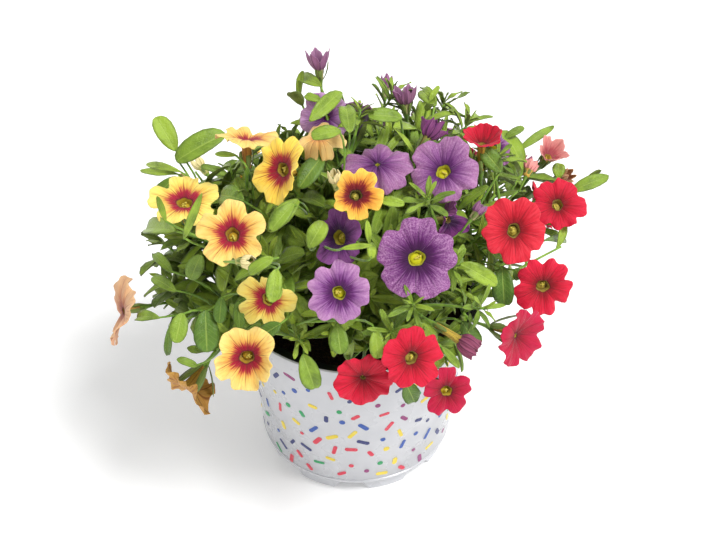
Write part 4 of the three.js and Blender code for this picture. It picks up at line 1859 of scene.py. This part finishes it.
# Single leaves that stand out: base, tip, width and freshness, in millimetres.
LONE_LEAVES = (
    ((-92, 35, 164), (-101, 43, 179), 10, 0.75),
    ((-92, 32, 160), (-70, 33, 177), 13, 0.45),
    ((-87, 14, 167), (-110, 30, 163), 4, 0.8),
    ((-89, 15, 165), (-111, 27, 159), 4, 0.7),
    ((-92, 28, 153), (-105, 19, 146), 7, 0.2),
    ((-86, -38, 173), (-108, -18, 162), 10, 0.65),
    ((-81, -52, 180), (-73, -52, 204), 4, 0.7),
    ((-90, -40, 180), (-93, -38, 193), 3, 0.6),
    ((-54, -26, 182), (-69, -14, 179), 10, 0.25),
    ((-27, -42, 196), (-40, -57, 193), 8, 0.6),
    ((-57, -9, 196), (-68, -7, 196), 3, 0.7),
    ((-17, 24, 213), (-30, 37, 211), 7, 0.75),
    ((-7, 15, 216), (-18, -7, 223), 8, 0.6),
    ((-3, -21, 219), (-5, -3, 225), 8, 0.55),
    ((-17, 15, 211), (-25, 17, 213), 4, 0.5),
    ((-7, -22, 221), (-19, -28, 224), 7, 0.6),
    ((39, 20, 204), (31, 33, 207), 7, 0.6),
    ((22, 1, 211), (9, -5, 219), 7, 0.4),
    ((10, -52, 204), (21, -56, 206), 5, 0.8),
    ((6, -73, 195), (5, -69, 205), 3, 0.8),
    ((-16, -17, 202), (-25, -34, 202), 9, 0.1),
    ((82, 36, 163), (100, 42, 177), 4, 0.5),
    ((76, 41, 168), (85, 43, 174), 4, 0.4),
    ((108, 20, 149), (127, 22, 160), 7, 0.5),
    ((103, 25, 154), (103, 30, 160), 6, 0.6),
    ((93, -16, 148), (112, 6, 133), 4, 0.1),
    ((49, -61, 173), (66, -65, 164), 8, 0.8),
    ((70, -45, 157), (71, -60, 146), 10, 0.0),
    ((77, -40, 151), (80, -43, 146), 5, 0.0),
    ((71, -3, 181), (63, -2, 193), 8, 0.15),
    ((-87, -50, 145), (-100, -37, 144), 6, 0.5),
    ((-89, -41, 149), (-101, -25, 151), 5, 0.4),
    ((-80, -48, 151), (-75, -48, 165), 8, 0.3),
    ((-95, -57, 134), (-111, -49, 130), 6, 0.55),
    ((-83, -64, 144), (-86, -75, 136), 8, 0.45),
    ((-72, -63, 145), (-71, -79, 134), 11, 0.0),
    ((-91, -54, 126), (-94, -61, 106), 4, 0.05),
    ((-76, -80, 124), (-85, -79, 128), 4, 0.4),
    ((-36, -85, 191), (-38, -97, 183), 7, 0.7),
    ((-38, -74, 188), (-49, -81, 186), 6, 0.6),
    ((-64, -61, 152), (-65, -71, 145), 6, 0.0),
    ((-56, -66, 154), (-55, -77, 148), 6, 0.1),
    ((-35, -84, 156), (-45, -87, 151), 7, 0.0),
    ((-22, -66, 187), (-16, -63, 199), 8, 0.7),
    ((-29, -47, 198), (-39, -59, 194), 7, 0.5),
    ((-37, -79, 182), (-36, -89, 177), 5, 0.8),
    ((-7, -79, 198), (6, -81, 202), 3, 0.8),
    ((-25, -88, 140), (-19, -100, 129), 10, 0.45),
    ((-9, -88, 160), (-7, -98, 151), 8, 0.3),
    ((9, -91, 159), (10, -100, 150), 7, 0.6),
    ((23, -88, 122), (29, -90, 108), 8, 0.0),
    ((40, -88, 145), (49, -92, 135), 4, 0.5),
    ((50, -73, 147), (59, -78, 133), 8, 0.0),
    ((-56, -71, 137), (-59, -76, 130), 7, 0.1),
    ((7, -79, 192), (7, -77, 199), 4, 0.9),
)

# Star-like tufts at shoot tips: tip, heading, leaves, length and freshness, in millimetres.
TUFTS = (
    ((2, 4, 214), (0.1, 0.3, 1), 13, 14, 0.8),
    ((33, -50, 204), (-0.1, -0.3, 1), 13, 14, 0.55),
    ((26, -88, 172), (-0.1, -0.6, 0.9), 12, 13, 0.6),
    ((-26, -86, 146), (0, -0.8, 0.5), 11, 9, 1.0),
    ((56, 24, 192), (0.3, 0.2, 1), 13, 16, 0.65),
    ((70, 6, 184), (0.5, 0, 1), 13, 15, 0.5),
    ((44, 38, 194), (0, 0.5, 1), 13, 16, 0.6),
    ((18, 40, 198), (0, 0.5, 1), 13, 16, 0.55),
    ((60, -76, 158), (0.4, -0.6, 0.6), 12, 14, 0.5),
    ((16, -90, 156), (0, -0.8, 0.6), 12, 15, 0.5),
    ((46, -62, 172), (0.1, -0.5, 1), 12, 14, 0.6),
)

BLOOMS = {
    "yellow_flower_1": Bloom(Tone.LEMON, -5, (0, 0, 5, 0, 0), ruffle=0.05, notch=0.24, narrow=0.04),
    "yellow_flower_2": Bloom(Tone.APRICOT, 10, (-20, 10, 25, 10, -10), ruffle=0.06, gape=0.8),
    "yellow_flower_3": Bloom(Tone.APRICOT, -11, (0, 8, 0, -6, 4), ruffle=0.045, notch=0.26, narrow=0.05),
    "yellow_flower_4": Bloom(Tone.GOLD, 8, (0, 30, 15, 0, -10), ruffle=0.05, notch=0.22),
    "yellow_flower_5": Bloom(Tone.PEACH, 0, (10, -15, -66, -66, -15), ruffle=0.05, notch=0.3, gape=0.5),
    "yellow_flower_6": Bloom(Tone.ORANGE, 36, (0, 0, -5, 42, 30), ruffle=0.06, notch=0.28, dimple=0.0),
    "yellow_flower_7": Bloom(Tone.LEMON, 10, (35, 0, 0, 0, 25), ruffle=0.05, notch=0.3),
    "yellow_flower_8": Bloom(Tone.APRICOT, 37, (5, 50, 0, 44, 6), ruffle=0.045, notch=0.24),
    "yellow_flower_9": Bloom(Tone.AGED, 36, (-14, 42, 6, -12, -22), ruffle=0.07, narrow=0.03, sepal=8,
                             tube=13, gape=0.5),
    "yellow_flower_10": Bloom(Tone.RUST, 30, (-25, 10, -35, 25, -20), ruffle=0.09, narrow=0.08, sepal=15,
                              reach=1.12),
    "yellow_flower_11": Bloom(Tone.GOLD, 22, ruffle=0.045),
    "yellow_flower_12": Bloom(Tone.LEMON, 50, ruffle=0.05),
    "yellow_flower_13": Bloom(Tone.APRICOT, 5, ruffle=0.045),
    "purple_bud_1": Bloom(Tone.MAUVE, 60, (58, 64, 67, 64, 56), notch=0.26, dimple=-0.16, narrow=0.08,
                          ruffle=0.03, tube=7, reach=1.5, raised=13),
    # its paler lilac is painted light on a flower in the shade of leaves
    "purple_flower_1": Bloom(Tone.HEATHER, 20, (20, 0, -10, 15, 30), ruffle=0.05, gape=0.4),
    "purple_flower_2": Bloom(Tone.LILAC, 0, (10, -10, 0, 10, 10), ruffle=0.05, gape=0.6),
    "purple_flower_3": Bloom(Tone.ORCHID, 0, (-18, -6, -32, -40, -10), ruffle=0.06, pinch=2.6, gape=0.3,
                             notch=0.14, dimple=0.05),
    "purple_flower_4": Bloom(Tone.DUSK, 330, (0, 15, 0, 15, 0), ruffle=0.05, narrow=0.06, gape=1.2),
    "purple_flower_5": Bloom(Tone.VIOLET, 8, ruffle=0.035, pinch=1.6, notch=0.2, dimple=0.04),
    "purple_flower_6": Bloom(Tone.LILAC, 12, ruffle=0.035, pinch=1.5, dimple=0.08, notch=0.2),
    "purple_flower_7": Bloom(Tone.ORCHID, 20, (10, -10, -25, -15, 10), ruffle=0.05, pinch=1.5),
    "purple_flower_8": Bloom(Tone.WILTED, 0, (70, -60, 60, -50, 40), ruffle=0.09, pinch=1.4, reach=1.15),
    "purple_flower_9": Bloom(Tone.VIOLET, 15, pinch=1.3),
    "purple_flower_10": Bloom(Tone.LILAC, 40, pinch=1.3, dimple=0.08),
    "purple_flower_11": Bloom(Tone.VIOLET, 30, (20, -10, -20, 0, 20), ruffle=0.06),
    "purple_flower_12": Bloom(Tone.LILAC, 0, pinch=1.3, dimple=0.06),
    "purple_bud_2": Bloom(Tone.MAUVE, 20, (56, 66, 67, 66, 58), notch=0.26, dimple=-0.16, narrow=0.08,
                          ruffle=0.03, tube=7, reach=1.5, raised=8),
    "red_flower_1": Bloom(Tone.CRIMSON, 10, (50, 42, 12, 12, 42), notch=0.1, dimple=0.02, ruffle=0.03),
    "red_flower_2": Bloom(Tone.CORAL, 36, notch=0.18, dimple=0.04, ruffle=0.04),
    "red_flower_3": Bloom(Tone.CRIMSON, 44, (0, 8, 0, -8, 0), dimple=0.07, ruffle=0.06),
    "red_flower_4": Bloom(Tone.SALMON, 20, (40, 54, 50, 54, 42), notch=0.26, dimple=-0.12, tube=11,
                          reach=1.15),
    "red_flower_5": Bloom(Tone.CRIMSON, 38, notch=0.26, dimple=0.08, ruffle=0.05),
    "red_flower_6": Bloom(Tone.CERISE, 10, (-5, 30, 15, 0, -5), dimple=0.03, ruffle=0.07, gape=0.35,
                          sepal=13),
    "red_flower_7": Bloom(Tone.CRIMSON, 8, notch=0.2, dimple=0.04, ruffle=0.045),
    "red_flower_8": Bloom(Tone.CRIMSON, 31, (5, 0, 0, 20, 0), notch=0.15, dimple=0.03, ruffle=0.06,
                          gape=0.4),
    "red_flower_9": Bloom(Tone.CERISE, 10, notch=0.28, narrow=0.06, dimple=0.05, ruffle=0.05),
    "red_flower_10": Bloom(Tone.CORAL, 12),
    "red_flower_11": Bloom(Tone.CRIMSON, 33),
    "red_flower_12": Bloom(Tone.CRIMSON, 50),
    "red_bud_1": Bloom(Tone.AGED, 0, (80, 84, 82, 84, 80), notch=0.2, narrow=0.3, ruffle=0.02,
                       tube=10, reach=1.6),
    "red_bud_2": Bloom(Tone.FURLED, 0, (82, 84, 82, 84, 82), notch=0.12, narrow=0.1, ruffle=0.05,
                       pinch=1.6, reach=2.1),
}


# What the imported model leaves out, being small: mouth, heading, radius and form.
# A furled one is a bud or an old flower rolled up.
SMALL_BLOOMS = {
    "purple_withered_1": ((35, -4, 205), (0.5, 0.6, 0.6), 8.0, Bloom(
        Tone.WILTED, 0, (74, 60, 80, 58, 76), narrow=0.25, ruffle=0.08, pinch=1.6, tube=11, reach=1.3)),
    "purple_furled_1": ((57, -43, 190), (0.5, 0.4, 0.5), 3.4, Bloom(
        Tone.MAUVE, 0, (84, 82, 84, 82, 84), narrow=0.2, ruffle=0.03, tube=5, reach=1.9)),
    "red_furled_1": ((86, 9, 174), (0.4, 0.7, 0.5), 3.2, Bloom(
        Tone.SALMON, 0, (84, 82, 84, 82, 84), narrow=0.2, ruffle=0.03, tube=5, reach=1.9)),
    "yellow_withered_1": ((-51, -70, 182), (0.85, -0.35, 0.3), 3.8, Bloom(
        Tone.CREAM, 0, (86, 84, 88, 84, 86), narrow=0.2, ruffle=0.05, pinch=1.2, tube=5, reach=1.9)),
    "yellow_furled_1": ((-10, -38, 205), (-0.2, 0.2, 0.9), 3.4, Bloom(
        Tone.CREAM, 0, (84, 82, 84, 82, 84), narrow=0.2, ruffle=0.03, tube=6, reach=1.9)),
    "purple_furled_2": ((16, 96, 160), (0.1, 0.8, 0.5), 4.0, Bloom(
        Tone.MAUVE, 0, (80, 82, 84, 82, 84), narrow=0.3, ruffle=0.03, tube=7, reach=2.0)),
    "red_furled_2": ((90, 62, 132), (0.7, 0.6, 0.3), 4.0, Bloom(
        Tone.FURLED, 0, (80, 82, 84, 82, 84), narrow=0.3, ruffle=0.03, tube=8, reach=2.0)),
    "yellow_furled_2": ((-84, 68, 128), (-0.6, 0.7, 0.3), 4.0, Bloom(
        Tone.CREAM, 0, (80, 82, 84, 82, 84), narrow=0.3, ruffle=0.03, tube=7, reach=2.0)),
}


@dataclass
class Planting:
    """The three plants with their shoots, leaves and flowers."""

    nodes: dict[str, Object]
    pot: Pot
    compost: Compost
    eye: Vector

    def build(self) -> None:
        """Makes every flower, bud and shoot."""
        greens = [LEAF_FACE.make(), LEAF_BACK.make(), stem_finish(), anther_finish()]
        petals = {tone: (tone.value.face(), tone.value.reverse()) for tone in Tone}
        seats = {name: Seat.of(self.nodes[name]) for name in BLOOMS}
        for name, bloom in BLOOMS.items():
            Corolla(name, bloom, seats[name]).build(petals[bloom.tone], greens)
        shoots = [Shoot(name, plan, seats, self.compost) for name, plan in SHOOTS.items()]
        mound = Mound(shoots)
        for name, (mouth, heading, radius, bloom) in SMALL_BLOOMS.items():
            way = Vector(heading).normalized()
            stalk = Vector(mouth) - way * (bloom.tube + 7.5)
            seat = Seat(Vector(mouth) + way * (LONGEST_TUBE - bloom.tube), way, stalk, radius)
            Corolla(name, bloom, seat, packed=False).build(petals[bloom.tone], greens)
            mound.owner(stalk).lone_stem(stalk, way)
            seats[name] = Seat(Vector(mouth), way, stalk, radius)
        self._leaves(mound)
        clearance = Clearance(list(seats.values()), self.pot, self.eye)
        blade = slab(4, 8, rounded=True)
        for shoot in shoots:
            shoot.build(blade, clearance, greens)

    def _leaves(self, mound: Mound) -> None:
        """Gives the shoots their leaves: two shells of side shoots, the tufts and the single leaves.

        Args:
            mound: what shares them out.
        """
        # the inner shell's leaves take the darker mature colour: partly older leaves, partly painted
        # shade deep in the planting
        mound.fill(50, 0.7, 0.02, "inner shell", {"leaves": 9, "length": 27, "fresh": 0.2, "slim": 1.0})
        mound.fill(108, 0.97, 0.05, "outer shell", {"leaves": 10, "length": 23, "fresh": 0.5})
        for tip, heading, leaves, length, fresh in TUFTS:
            tuft = {"leaves": leaves, "length": length, "fresh": fresh, "slim": 0.55, "start": 0.7}
            mound.add(Vector(tip), Vector(heading), tuft, kept=True)
        for base, tip, width, fresh in LONE_LEAVES:
            mound.owner(Vector(base)).lone_leaf(Vector(base), Vector(tip), width, fresh, self.eye)


def main() -> None:
    """Builds the studio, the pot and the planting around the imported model."""
    logging.basicConfig(level=logging.INFO, format="%(name)s %(message)s")
    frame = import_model()
    studio = Studio()
    studio.build()
    pot = Pot()
    pot.build()
    compost = Compost(pot)
    compost.build()
    Planting(frame["nodes"], pot, compost, studio.eye).build()
    bpy.context.view_layer.update()


if __name__ == "__main__":
    main()
